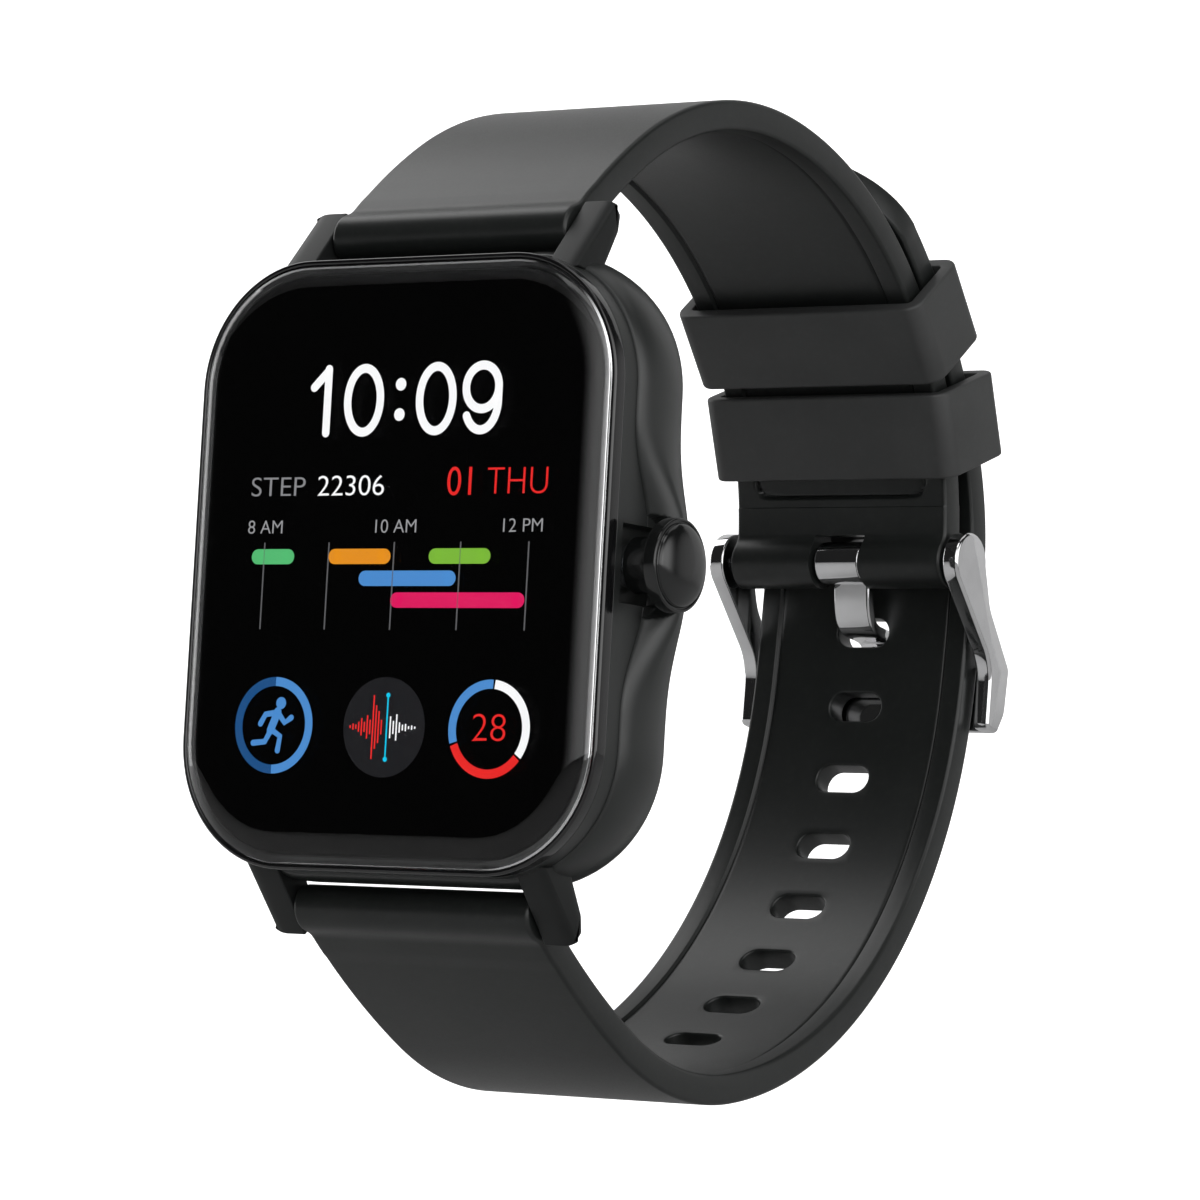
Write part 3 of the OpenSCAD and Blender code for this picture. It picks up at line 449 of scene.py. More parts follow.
def ringRows(base, normal, offsets, levels, shrink=None):
    # the outline moved out by each row's offset and set at each row's level along y
    offsets, levels = np.asarray(offsets, float)[:, None], np.asarray(levels, float)[:, None]
    factor = np.ones_like(offsets) if shrink is None else np.asarray(shrink, float)[:, None]
    x = (base[:, 0] + normal[:, 0] * offsets) * factor
    z = (base[:, 1] + normal[:, 1] * offsets) * factor
    return np.stack([x, np.broadcast_to(levels, x.shape), z], -1)


def caseOutline(sideZ=None):
    # the case's own outline, its right side in even steps unless other places along it are given
    end = case["halfHeight"] - case["corner"]
    return outlineNodes(case["halfWidth"], case["halfHeight"], case["corner"],
                        np.linspace(-end, end - 0.02, 40) if sideZ is None else sideZ)


def crownCuts(x, y, z, side):
    # the head's round recess and the collar's square notch, both cut straight in from the right side
    radius, edge = crownSpot["headRadius"] + crownSpot["cutGap"], crownSpot["edge"]
    recess = 1 - smoothStep(radius - edge, radius + edge, np.hypot(y - crownAt[0], z - crownAt[1]))
    x = np.where(side, x + (np.minimum(x, case["halfWidth"]) - x) * recess, x)
    notch = (smoothStep(-edge, edge, crownSpot["notchHalf"] - np.abs(z - crownAt[1]))
             * smoothStep(-edge, edge, y - crownAt[0] + crownSpot["notchFront"])
             * smoothStep(-edge, edge, crownSpot["notchBack"] - y + crownAt[0]))
    return np.where(side, x + (case["halfWidth"] - crownSpot["notchDepth"] - x) * notch, x)


def buildCase():
    # rows of the outline: up the inside, over the front rim, down the band to the seam and over the rear bulge,
    # which rises as a quarter circle to its crest and then falls away; guards swell beside the crown
    reach = crownSpot["headRadius"] + crownSpot["cutGap"] + crownSpot["fineReach"]
    end = case["halfHeight"] - case["corner"]
    fine = np.arange(crownAt[1] - reach, crownAt[1] + reach, case["fineStep"])
    base, normal = caseOutline(np.concatenate([np.linspace(-end, fine[0], 16, endpoint=False), fine,
                                               np.linspace(fine[-1], end, 17)[1:-1], [end - 0.02]]))
    rim, wall, front, back, seam = (case[size] for size in ("frontRim", "wall", "front", "back", "seam"))
    a = np.linspace(0, math.pi / 2, 5)
    away, right = np.abs(base[:, 1] - crownAt[1]), np.clip(normal[:, 0], 0, 1) ** 4
    # the crease swings back towards the crown, and the crest behind it keeps its distance
    swing = (1 - smoothStep(case["sweepFrom"], case["sweepTo"], away)) ** case["sweepPower"]
    crease = -case["crease"] + right * case["sweep"] * swing
    crest = crease + (case["crease"] - case["crest"]) * (1 - 0.25 * (crease + case["crease"]) / case["sweep"])
    start = -front + rim
    down, over = np.linspace(0, 1, 30)[1:, None], (np.linspace(0, 1, 64) ** 1.25)[:, None]
    across = np.array([-0.5, 0.0, 0.5])[:, None] * seam
    outer = np.concatenate([start + (crease - seam - start) * down, crease + across,
                            crease + seam + (-back - crease - seam) * over])
    sunk = np.concatenate([0 * down, [[0.8], [1.0], [0.8]], 0 * over]) * -seam
    before = np.array([-back, -front + case["bevel"][1], -front, *(-front + rim * (1 - np.cos(a)))])
    levels = np.concatenate([np.broadcast_to(before[:, None], (len(before), len(base))), outer, outer[-1:]])
    offsets = np.concatenate([[-wall, -wall, -wall + case["bevel"][0]], -rim + rim * np.sin(a), 0 * outer[:, 0],
                              [-case["rearLip"]]])
    points = ringRows(base, normal, offsets, 0 * offsets)
    x, y, z = points[..., 0], levels, points[..., 2]
    away, right = np.abs(z - crownAt[1]), right[None]
    t = np.clip((y - crease) / (crest - crease), 0, 1)
    u = np.clip((y - crest) / (-back - crest), 0, 1) * case["rearTurn"]
    pillow = case["bulge"] * np.sqrt(1 - (1 - t) ** 2) - case["drop"] * (1 - np.sqrt(1 - u ** 2))
    pillow[len(before):-1] += sunk
    guard = (right * crownSpot["guard"] * np.exp(-(away / crownSpot["guardReach"]) ** 3)
             * t * (2 - t) * (1 - 0.35 * u))
    row = np.arange(len(levels))[:, None]
    isOuter = (row >= len(before)) & (row < len(levels) - 1)
    push = np.where(isOuter, pillow + guard, 0)
    push[-1] = push[-2]
    x, z = x + normal[:, 0] * push, z + normal[:, 1] * push
    x = crownCuts(x, y, z, isOuter & (normal[:, 0] > 0.999)[None])
    shape = np.stack([x, y, z], -1)
    return shape, gridFaces(*shape.shape[:2], loopRows=True)


lug = {"inner": 10.2, "width": 2.6, "sweep": 40.0, "front": 1.05, "back": 1.1, "tip": 1.7, "root": 5.2,
       "innerEdge": (0.15, 0.15), "outerStep": (1.05, 0.42)}
topBar, bottomBar = jointPlace("short_strap_swing"), jointPlace("long_strap_swing")
buckleBar = jointPlace("buckle_swing")


def buildLugs():
    # a swept-back arm round each spring bar: flat front, blunt tip, narrow rolled step to its outer side
    f, b, t, r = lug["front"], lug["back"], lug["tip"], lug["root"]
    corners = [(-f, -r), (-f, t), (b - 0.85, t - 0.12), (b - 0.1, t - 1.3), (b + 0.6, 1.5 - r)]
    flat = roundedCorners(corners, [0, 0.16, 0.6, 1.2, 0], 7)
    c, s = math.cos(math.radians(-lug["sweep"])), math.sin(math.radians(-lug["sweep"]))
    swept = np.stack([flat[:, 0] * c - flat[:, 1] * s, flat[:, 0] * s + flat[:, 1] * c], -1)
    made = []
    for vertical, bar in ((1, topBar), (-1, bottomBar)):
        outline = swept * (1, vertical) + bar
        points, faces = plate(outline, lug["inner"], lug["inner"] + lug["width"], lug["innerEdge"],
                              lug["outerStep"], steps=8)
        made += [(points, faces), (points * (-1, 1, 1), faces)]
    return joined(made)


bezel = {"foot": 8.5, "crest": 9.4, "rise": 0.15, "outer": 0.02, "half": 0.2}


def buildBezel():
    # thin polished ring: half an ellipse as its bead, carried round the case's outline
    a = np.linspace(0, math.pi, 9)
    outer, half, foot = bezel["outer"], bezel["half"], bezel["foot"]
    offsets = np.concatenate([[-outer], -(outer + half) + half * np.cos(a), [-outer - 2 * half]])
    levels = np.concatenate([[-foot], -bezel["crest"] - bezel["rise"] * np.sin(a), [-foot]])
    rows = ringRows(*caseOutline(), offsets, levels)
    return rows, gridFaces(*rows.shape[:2], loopRows=True)


glass = {"gap": 0.38, "side": 9.25, "edgeRun": 2.4, "cut": 0.3, "back": 8.75, "inner": 9.2, "foot": 1.2,
         "flat": [3.5, 5.0, 6.5]}


def buildGlass():
    # flat front that rolls down a quarter ellipse to a short upright rim, open pocket behind for the panel
    front = -nodeBox("cover_glass")[0][1]
    base, normal = caseOutline()
    a = np.linspace(glass["cut"], math.pi / 2, 22)
    gap, foot, flat, last = glass["gap"], glass["foot"], np.array(glass["flat"]), glass["flat"][-1]
    offsets = np.concatenate([[-foot, -gap - 0.1], -gap - glass["edgeRun"] * (1 - np.cos(a)), -gap - flat,
                              [-gap - last] * 3])
    rise = front - glass["side"]
    levels = np.concatenate([[glass["back"]] * 2, glass["side"] + rise * np.sin(a), [front] * 6])
    outside = ringRows(base, normal, offsets, -levels, [1] * (len(levels) - 3) + toMiddle)
    inside = ringRows(base, normal, [-foot, -foot, -3] + [-last] * 4,
                      -np.array([glass["back"]] + [glass["inner"]] * 6), [1] * 4 + toMiddle)
    rows = np.concatenate([inside[::-1], outside])
    return rows, gridFaces(*rows.shape[:2])


panel = {"side": 1.3, "front": 9.16, "back": 7.4, "bevel": 0.1, "middle": 8.5}


def buildDisplayStack():
    # the black laminated panel under the glass: the case's outline moved in, bevelled and closed to the middle
    side, middle, bevel, front, back = (panel[size] for size in ("side", "middle", "bevel", "front", "back"))
    offsets = -np.array([middle, middle, side + bevel, side, side, side + bevel, middle, middle])
    levels = -np.array([back, back, back, back + bevel, front - bevel, front, front, front])
    rows = ringRows(*caseOutline(), offsets, levels, [0, 1, 1, 1, 1, 1, 1, 0])
    return rows, gridFaces(*rows.shape[:2])


addPiece("caseBody", buildCase(), "caseCoating", "case", ["mid_frame"], sharpAngle=50)
# the lugs take the darker, less reflective copy of the case coating: painted shade
addPiece("caseLugs", buildLugs(), "lugShadedCoating", "case")
addPiece("bezelRing", buildBezel(), "blackGloss", "case", ["bezel_ring"])
addPiece("coverGlass", buildGlass(), "coverGlass", "case", ["cover_glass"])
addPiece("displayStack", buildDisplayStack(), "displayBlack", "case", ["display_panel"])
print("case made")

rear = {"inset": 0.66, "round": 1.2, "cut": 0.35, "wall": 3.0, "depth": 1.3, "window": 9.05, "windowGap": 0.03,
        "ledge": 0.7}


def buildRearCover():
    # rolls over from the case's edge to a flat back, then drops into the round window seat
    a = np.linspace(rear["cut"], math.pi / 2, 10)
    offsets = np.concatenate([[-rear["wall"], -rear["inset"] - 0.1],
                              0.07 - rear["inset"] - rear["round"] * (1 - np.cos(a))])
    levels = np.concatenate([[-rear["depth"]] * 2, -rear["round"] + rear["round"] * np.sin(a)])
    outer = ringRows(*caseOutline(), offsets, levels)
    flat = outer[-1]
    angle = np.arctan2(flat[:, 2], flat[:, 0])
    t, seatRadius = np.linspace(0, 1, 9)[1:, None], rear["window"]
    lip = seatRadius + 0.12
    x = flat[:, 0] * (1 - t) + lip * np.cos(angle) * t
    z = flat[:, 2] * (1 - t) + lip * np.sin(angle) * t
    face = np.stack([x, np.zeros_like(x), z], -1)
    walls = [(seatRadius + 0.04, -0.04), (seatRadius, -0.12), (seatRadius, -rear["ledge"]),
             (seatRadius, -rear["depth"])]
    seat = [np.stack([r * np.cos(angle), np.full_like(angle, y), r * np.sin(angle)], -1) for r, y in walls]
    rows = np.concatenate([outer, face, seat])
    return rows, gridFaces(*rows.shape[:2], loopRows=True)


def buildWindow():
    # a shallow cap of a ball on a short rim
    r, rise = rear["window"] - rear["windowGap"], sensorWindow["rise"]
    ball = (r * r + rise * rise) / (2 * rise)
    radius = r * (1 - np.linspace(0, 1, 14))
    height = rise - ball + np.sqrt(ball ** 2 - radius ** 2)
    profile = [(-rear["ledge"], 0), (-rear["ledge"], r), *zip(height - 0.02, radius)]
    return turned(profile, (0, 0), "y")


screw = {"head": 1.15, "lobes": 6, "lobe": 0.42, "lobeDepth": 0.07}


def buildScrews():
    # domed heads near the corners, each with a drive whose radius rises and falls as a cosine six times round
    low, high = nodeBox("rear_screws")
    spread = (high - low) / 2 - screw["head"]
    angle = np.linspace(0, 2 * math.pi, 72, endpoint=False)
    zero = 0 * angle
    head, lobe = screw["head"] + zero, screw["lobe"] + screw["lobeDepth"] * np.cos(screw["lobes"] * angle)
    rows = [(-0.6, zero), (-0.6, head), (0.0, head), (0.06, head - 0.12), (0.08, lobe + 0.1), (0.05, lobe),
            (-0.35, lobe - 0.03), (-0.4, zero)]
    made = []
    for x, z in [(sx * spread[0], sz * spread[2]) for sx in (-1, 1) for sz in (-1, 1)]:
        points = np.stack([np.stack([x + r * np.cos(angle), np.full_like(angle, y), z + r * np.sin(angle)], -1)
                           for y, r in rows])
        made.append((points, gridFaces(*points.shape[:2]).reshape(-1, 4).tolist()))
    return joined(made)


def buildContacts():
    # two turned discs with a raised ring and a dished middle
    low, high = nodeBox("charging_contacts")
    radius = (high[2] - low[2]) / 2
    profile = [(-0.4, 0), (-0.4, radius), (0.02, radius), (0.06, radius - 0.1), (0.05, radius - 0.3),
               (0.0, radius - 0.45), (-0.02, 0)]
    z = (low[2] + high[2]) / 2
    return joined([turned(profile, (x, z), "y", 48) for x in (low[0] + radius, high[0] - radius)])


addPiece("rearCover", buildRearCover(), "rearPlastic", "case", ["rear_cover"])
addPiece("sensorWindow", buildWindow(), "sensorWindow", "case", ["sensor_window"])
addPiece("rearScrews", buildScrews(), "steel", "case", ["rear_screws"])
addPiece("chargingContacts", buildContacts(), "goldPlate", "case", ["charging_contacts"])
print("rear made")

crown = {"collar": 1.95, "collarStart": 17.35, "bore": 1.62, "boreDepth": 0.45, "head": 19.8, "rim": 1.1,
         "radius": 3.2, "groove": 0.1}


def buildCrown():
    # a profile turned round the stem: collar, head with a rounded rim, fine groove and a quarter-ellipse dome,
    # and a blind bore behind it
    start, head, r, tip = crown["collarStart"], crown["head"], crown["radius"], nodeBox("crown_cap")[1][0]
    collar, rimEnd, groove = crown["collar"], head + crown["rim"], crown["groove"]
    a, bead = np.linspace(0, math.pi / 2, 24), np.linspace(0, math.pi / 2, 5)
    profile = [(start, crown["bore"]), (start, collar - 0.2), (start + 0.15, collar), (head - 0.25, collar),
               (head - 0.2, collar - 0.15), (head, collar - 0.15), (head, r - 0.35),
               *zip(head + 0.25 - 0.25 * np.cos(bead), r - 0.25 + 0.25 * np.sin(bead)), (rimEnd - 0.12, r),
               *zip(rimEnd - 0.12 + 0.12 * np.sin(bead), r - 0.12 + 0.12 * np.cos(bead)), (rimEnd, r - 0.2),
               (rimEnd - groove, r - 0.24), (rimEnd - groove, r - 0.32), (rimEnd + 0.02, r - 0.36),
               *zip(rimEnd + 0.04 + (tip - rimEnd - 0.04) * np.sin(a), (r - 0.38) * np.cos(a))]
    bottom = head - crown["boreDepth"]
    bore = [(start, crown["bore"]), (bottom, crown["bore"]), (bottom, 0)]
    return joined([turned(profile, crownAt, around=128), turned(bore, crownAt, around=128)])


addPiece("crownCap", buildCrown(), "crownCoating", "crown", ["crown_cap"], sharpAngle=30)
print("crown made")

strap = {"thickness": 2.2, "edge": 0.3, "lugWidth": 20.0, "buckleWidth": 19.0, "tube": 1.65, "roll": 2.0,
         "layerGap": 0.45, "rollGap": 1.1, "overlap": 34.0, "recess": 0.2, "recessFromEdge": 1.85,
         "recessRun": 0.16, "groove": 0.22, "shortHeading": 47.0,
         "shortArcs": [(11, -14), (19.5, -40), (25, -45.5), (18.2, -39.5)],  # length in mm, turn in degrees
         "longArcs": [(9.5, -4.5), (48, -77.5), (14, -34.5)]}
keeper = {"length": 6.6, "wall": 1.1, "fit": 0.3, "start": 7.0, "gap": 1.6, "corner": 0.35, "rim": 0.2}
hole = {"width": 4.6, "length": 2.3, "pitch": 6.0, "tongueAt": 5.1, "below": 7, "above": 3, "fillet": 0.18,
        "patchHalf": 3.2, "patchReach": 2.1}


def alongArcs(start, arcs, s):
    # walks a chain of arcs: each adds its chord along its middle heading, and its turn to the heading
    left = np.asarray(s, float)
    y, z, heading = (np.full(left.shape, float(v)) for v in start)
    for i, (length, turn) in enumerate(arcs):
        low = -np.inf if i == 0 else 0.0
        high = np.inf if i == len(arcs) - 1 else length
        run = np.clip(left, low, high)
        half = math.radians(turn) * run / length / 2
        chord = run * np.sinc(half / math.pi)
        y, z = y + chord * np.cos(heading + half), z + chord * np.sin(heading + half)
        heading, left = heading + 2 * half, left - run
    return y, z, heading


def outward(place, distance):
    # a place on a path moved square to its heading, away from the wrist
    y, z, heading = place
    return y - distance * np.sin(heading), z + distance * np.cos(heading), heading


shortStart = (*topBar, math.radians(strap["shortHeading"]))
shortLength = sum(length for length, _ in strap["shortArcs"])
keeperFar = keeper["start"] + 2 * keeper["length"] + keeper["gap"]


def shortPlace(s):  # along the short strap's centre line, from the top bar
    return alongArcs(shortStart, strap["shortArcs"], s)


def layerStep(before):
    # distance between the straps' centre lines: wide at the buckle bar, smoothly closing to a small gap
    near = strap["roll"] + strap["rollGap"] + strap["thickness"] / 2
    far = strap["thickness"] + strap["layerGap"]
    return near + (far - near) * smoothStep(0, keeperFar - 4, before)


def lapped(before):  # the long strap's centre line where it lies on the short one
    return outward(shortPlace(shortLength - before), layerStep(before))


longStart = tuple(float(v) for v in lapped(np.array(0.0)))
openLength = np.array(sum(length for length, _ in strap["longArcs"]))
openEnd = [float(v) for v in alongArcs(longStart, strap["longArcs"], openLength)]
# one more arc closes the chain: it turns by twice the angle between its heading and its chord
chordY, chordZ = bottomBar - openEnd[:2]
halfTurn = (math.atan2(chordZ, chordY) - openEnd[2] + math.pi) % (2 * math.pi) - math.pi
lastLength = math.hypot(chordY, chordZ) * halfTurn / math.sin(halfTurn)
longChain = [*strap["longArcs"], (lastLength, math.degrees(2 * halfTurn))]
longLength = sum(length for length, _ in longChain)


def longPlace(s):
    # along the long strap: arcs from the buckle bar on, and with negative s the part lying on the short strap
    s = np.asarray(s, float)
    ahead, back = alongArcs(longStart, longChain, np.maximum(s, 0)), lapped(np.maximum(-s, 0))
    return tuple(np.where(s < 0, b, a) for a, b in zip(ahead, back))


def halfWidthAt(y):  # narrows evenly from the case to the buckle
    t = np.clip((y - topBar[0]) / (buckleBar[0] - topBar[0]), 0, 1)
    return (strap["lugWidth"] + (strap["buckleWidth"] - strap["lugWidth"]) * t) / 2


def barBulge(s, radius):
    # half the thickness near a bar: a circle round it that melts into the strap
    half = strap["thickness"] / 2
    circle = np.sqrt(np.clip(radius ** 2 - s ** 2, 0, None))
    soft = 0.5 * np.clip(s / radius, 0, 1)
    blended = 0.5 * (half + circle + np.sqrt((half - circle) ** 2 + soft ** 2))
    return np.where(s < 0, circle, np.where(s < 2.2 * radius, np.maximum(blended, half), half))


class StrapSheet:
    # a strap as a grid: rows along its path, each a loop over its outer face and back over its inner one

    def __init__(self, place, rows, innerHalf, innerCount, halfThick, recess, tip=None):
        # columns keep their distance from the edge, and are drawn in by half an ellipse towards a rounded tip
        self.place, self.rows, self.halfThick, self.recess, self.tip = place, rows, halfThick, recess, tip
        inner = np.linspace(-innerHalf, innerHalf, innerCount)
        # columns closest together where the recess ends and where the edge is rounded
        fromEdge = np.array([2.3, 2.05, 1.98, 1.91, 1.84, 1.77, 1.7, 1.5, 0.9, 0.45, 0.3, 0.24, 0.17, 0.09,
                             0.03, 0])
        half = halfWidthAt(place(rows)[0])[:, None]
        blend = np.linspace(0, 1, 6)[1:][None]
        right = np.concatenate([innerHalf + (half - 2.6 - innerHalf) * blend, half - fromEdge[None]], 1)
        self.u = np.concatenate([-right[:, ::-1], np.broadcast_to(inner, (len(rows), innerCount)), right], 1)
        self.cols = self.u.shape[1]
        self.left = right.shape[1]
        self.right = self.left + innerCount - 1
        if tip:
            beyond = np.clip((tip["centre"] - rows) / tip["reach"], 0, 1)[:, None]
            narrow = tip["radius"] / half * np.sqrt(1 - beyond ** 2)
            self.u = self.u * np.where(rows[:, None] < tip["centre"], narrow, 1)

    def heights(self, u, s):
        # both faces' distances from the centre line: a quarter circle down at the edge, and on the inner face
        # a rounded rectangle sunk by a smooth step, with a groove as a bell curve along its border
        half = halfWidthAt(self.place(s)[0])
        h = self.halfThick(s)
        edge = np.minimum(strap["edge"], 0.8 * h)
        dist = half - np.abs(u)
        if self.tip:
            stretch = self.tip["radius"] / self.tip["reach"]
            fromTip = self.tip["radius"] - np.hypot(u, (self.tip["centre"] - s) * stretch)
            dist = np.where(s < self.tip["centre"], fromTip, dist)
        dist = np.clip(dist, 0, None)
        fall = edge - np.sqrt(np.clip(edge ** 2 - np.clip(edge - dist, 0, None) ** 2, 0, None))
        corner = self.recess["corner"]
        q = np.abs(u) - (half - strap["recessFromEdge"] - corner)
        p = np.maximum(self.recess["from"] - s, s - self.recess["to"]) + corner
        outside = np.hypot(np.clip(q, 0, None), np.clip(p, 0, None)) + np.minimum(np.maximum(q, p), 0) - corner
        sunk = strap["recess"] * (1 - smoothStep(-strap["recessRun"] / 2, strap["recessRun"] / 2, outside))
        sunk = sunk + strap["groove"] * np.exp(-(outside / 0.1) ** 2)
        return h - fall, -(h - fall) + sunk

    def solid(self, u, s, w):  # points at u across, s along and w out from the centre line
        y, z, _ = outward(self.place(s), w)
        return np.stack([u, y, z], -1)

    def build(self, patches=(), window=None):
        # the grid with a rectangle left out round each hole and filled by its wall, and an open-ended window
        s = np.broadcast_to(self.rows[:, None], self.u.shape)
        top, bottom = self.heights(self.u, s)
        points = np.concatenate([self.solid(self.u, s, top), self.solid(self.u, s, bottom)[:, ::-1]], 1)
        faces = gridFaces(len(self.rows), 2 * self.cols)
        keep = np.ones(faces.shape[:2], bool)
        middle = (self.rows[1:] + self.rows[:-1]) / 2
        j = np.arange(self.left, self.right)
        under = self.cols + (self.cols - 2 - j)
        shapes = []
        for low, high in [*patches, *([window] if window else [])]:
            hit = np.where((middle > low) & (middle < high))[0]
            keep[np.ix_(hit, j)] = False
            keep[np.ix_(hit, under)] = False
            if (low, high) != window:
                shapes.append(self.holeWall(low, high))
        kept = faces[keep].tolist()
        if window:
            first = int(np.argmin(np.abs(self.rows - window[0])))
            wide, mirror = 2 * self.cols, 2 * self.cols - 1
            r = np.arange(first, len(self.rows) - 1) * wide
            for col in (self.left, self.right):
                far = mirror - col
                kept += np.stack([r + col, r + wide + col, r + wide + far, r + far], -1).tolist()
            start, end = first * wide + j, first * wide + mirror - j
            kept += np.stack([start, start + 1, end - 1, end], -1).tolist()
        return joined([(points.reshape(-1, 3), kept), *shapes])

    def holeWall(self, low, high):
        # rows from the rectangle left in the outer face, in to a slot's outline, over a fillet, through the
        # strap and out again to the rectangle in the inner face
        rows = self.rows[(self.rows > low - 1e-6) & (self.rows < high + 1e-6)]
        inner = self.u[-1, self.left:self.right + 1]
        loop = np.concatenate([np.stack([inner[:-1], np.full(len(inner) - 1, rows[0])], -1),
                               np.stack([np.full(len(rows) - 1, inner[-1]), rows[:-1]], -1),
                               np.stack([inner[:0:-1], np.full(len(inner) - 1, rows[-1])], -1),
                               np.stack([np.full(len(rows) - 1, inner[0]), rows[:0:-1]], -1)])
        centre, r = (low + high) / 2, hole["length"] / 2
        straight = hole["width"] / 2 - r
        core = np.stack([np.clip(loop[:, 0], -straight, straight), np.full(len(loop), centre)], -1)
        way = (loop - core) / np.hypot(*(loop - core).T)[:, None]
        f, a = hole["fillet"], np.linspace(0, math.pi / 2, 5)
        reach = np.concatenate([r + f * (1 - np.sin(a)), r + f * (1 - np.sin(a[::-1]))])
        drop = np.concatenate([f * (1 - np.cos(a)), f * (1 - np.cos(a[::-1]))])
        blend = np.array([0, 0.5])[:, None, None]
        slotRows = core[None] + way[None] * reach[:, None, None]
        flatTop = loop[None] * (1 - blend) + slotRows[:1] * blend
        flat = np.concatenate([flatTop, slotRows, flatTop[::-1]])
        top, bottom = self.heights(flat[..., 0], flat[..., 1])
        drop = np.concatenate([[0, 0], drop, [0, 0]])[:, None]
        isTop = (np.arange(len(flat)) < 2 + len(a))[:, None]
        w = np.where(isTop, top - drop, bottom + drop)
        points = self.solid(flat[..., 0], flat[..., 1], w)
        return points.reshape(-1, 3), gridFaces(*flat.shape[:2]).reshape(-1, 4).tolist()


def roundRows(radius, count=12):  # rows round a bar, closest together at its far side
    return -radius * np.cos(np.linspace(0, math.pi / 2, count))


def rowsBetween(stops, spacing=0.8):
    # even rows that fall on every stop, no further apart than the spacing
    steps = [max(1, math.ceil((b - a) / spacing)) for a, b in zip(stops[:-1], stops[1:])]
    runs = [np.linspace(a, b, n + 1)[:-1] for a, b, n in zip(stops[:-1], stops[1:], steps)]
    return np.concatenate([*runs, [stops[-1]]])


def buildShortStrap():
    # from its tube at the top bar to the roll round the buckle bar, with an open window for the tongue
    windowStart = shortLength - strap["roll"] - 0.1
    recessFrom, recessTo = 5.0, shortLength - 5.2
    rows = np.concatenate([roundRows(strap["tube"])[:-1], rowsBetween([0, 3.0], 0.2)[:-1],
                           rowsBetween([3.0, recessTo - 1.0])[:-1],
                           rowsBetween([recessTo - 1.0, recessTo + 1.0], 0.07)[:-1],
                           rowsBetween([recessTo + 1.0, shortLength - 3.4], 0.2)[:-1],
                           rowsBetween([shortLength - 3.4, windowStart, shortLength], 0.16)[:-1],
                           shortLength - roundRows(strap["roll"], 14)[::-1]])

    def halfThick(s):  # a tube at one end and the roll at the other
        return np.where(s < shortLength / 2, barBulge(s, strap["tube"]),
                        barBulge(shortLength - s, strap["roll"]))

    recess = {"from": recessFrom, "to": recessTo, "corner": 1.3}
    sheet = StrapSheet(shortPlace, rows, 2.25, 13, halfThick, recess)
    return sheet.build(window=(windowStart, shortLength + strap["roll"] + 1))


def buildLongStrap():
    # from its rounded tip, past the evenly spaced holes, to its tube at the bottom bar
    after = hole["tongueAt"] + hole["pitch"] * np.arange(-hole["above"], hole["below"] + 1)
    patches = [(centre - hole["patchReach"], centre + hole["patchReach"]) for centre in after]
    tip = {"radius": 9.65, "reach": 8.85, "centre": -strap["overlap"] + 9.0}
    stops = [tip["centre"], *np.ravel(patches), longLength - 3.0]
    rows = np.concatenate([tip["centre"] - tip["reach"] * np.cos(np.linspace(0, math.pi / 2, 26))[:-1],
                           rowsBetween(stops, 0.53)[:-1], rowsBetween([longLength - 3.0, longLength], 0.2)[:-1],
                           longLength - roundRows(strap["tube"])[::-1]])

    def halfThick(s):  # a tube at its far end only
        return barBulge(longLength - s, strap["tube"])

    recess = {"from": -strap["overlap"] + 2.6, "to": longLength - 5.0, "corner": 6.0}
    sheet = StrapSheet(longPlace, rows, hole["patchHalf"], 17, halfThick, recess, tip)
    return sheet.build(patches=patches)


addPiece("shortStrap", buildShortStrap(), "silicone", "short_strap", ["strap_short"])
addPiece("longStrap", buildLongStrap(), "silicone", "long_strap", ["strap_long"])
print("straps made")


def buildKeeper(before):
    # a square tube round both straps: a rounded wall section carried round a rounded rectangle
    middle = before + keeper["length"] / 2
    y, z, heading = (float(v) for v in shortPlace(np.array(shortLength - middle)))
    half = float(halfWidthAt(y)) + keeper["fit"] + 0.05
    low = -strap["thickness"] / 2 - keeper["fit"] - 0.1
    high = float(layerStep(before)) + strap["thickness"] / 2 + keeper["fit"] + 0.05
    r = keeper["corner"]
    inner = roundedCorners([(-half, low), (half, low), (half, high), (-half, high)], r, 10)
    rim = keeper["rim"]
    long, thick = keeper["length"] / 2, keeper["wall"]
    wall = roundedCorners([(-long, 0), (long, 0), (long, thick), (-long, thick)],
                          [rim / 2, rim / 2, rim, rim], 5)
    loops = np.stack([inset(inner, -out) for out in wall[:, 1]])
    along = wall[:, 0][:, None]
    c, s = math.cos(heading), math.sin(heading)
    points = np.stack([loops[..., 0], y + along * c - loops[..., 1] * s, z + along * s + loops[..., 1] * c], -1)
    return points, gridFaces(*loops.shape[:2], loopRows=True)


for side, before in (("lower", keeper["start"]), ("upper", keeper["start"] + keeper["length"] + keeper["gap"])):
    addPiece(side + "Keeper", buildKeeper(before), "keeperSilicone", side + "_keeper",
             ["keeper_" + side])
print("keepers made")

buckle = {"head": 2.3, "cheekIn": 10.0, "cheek": 1.3, "edge": 0.28, "barAt": 9.8, "barLength": 5.0,
          "barThick": 1.4, "barGap": 0.4, "barCorner": 0.65, "waistAt": 4.4, "waist": 1.3}
tongue = {"width": 3.2, "thick": 0.9, "corner": 0.22, "gap": 0.1, "ringWidth": 4.0, "ringIn": 0.8,
          "ringOut": 1.65}


def crossbarSpot(alongBy, outBy):  # measured along the long strap and out from it, at the crossbar
    away = strap["thickness"] / 2 + buckle["barGap"] + outBy
    y, z, _ = outward(longPlace(np.array(buckle["barAt"] + alongBy)), away)
    return np.array([float(y), float(z)])


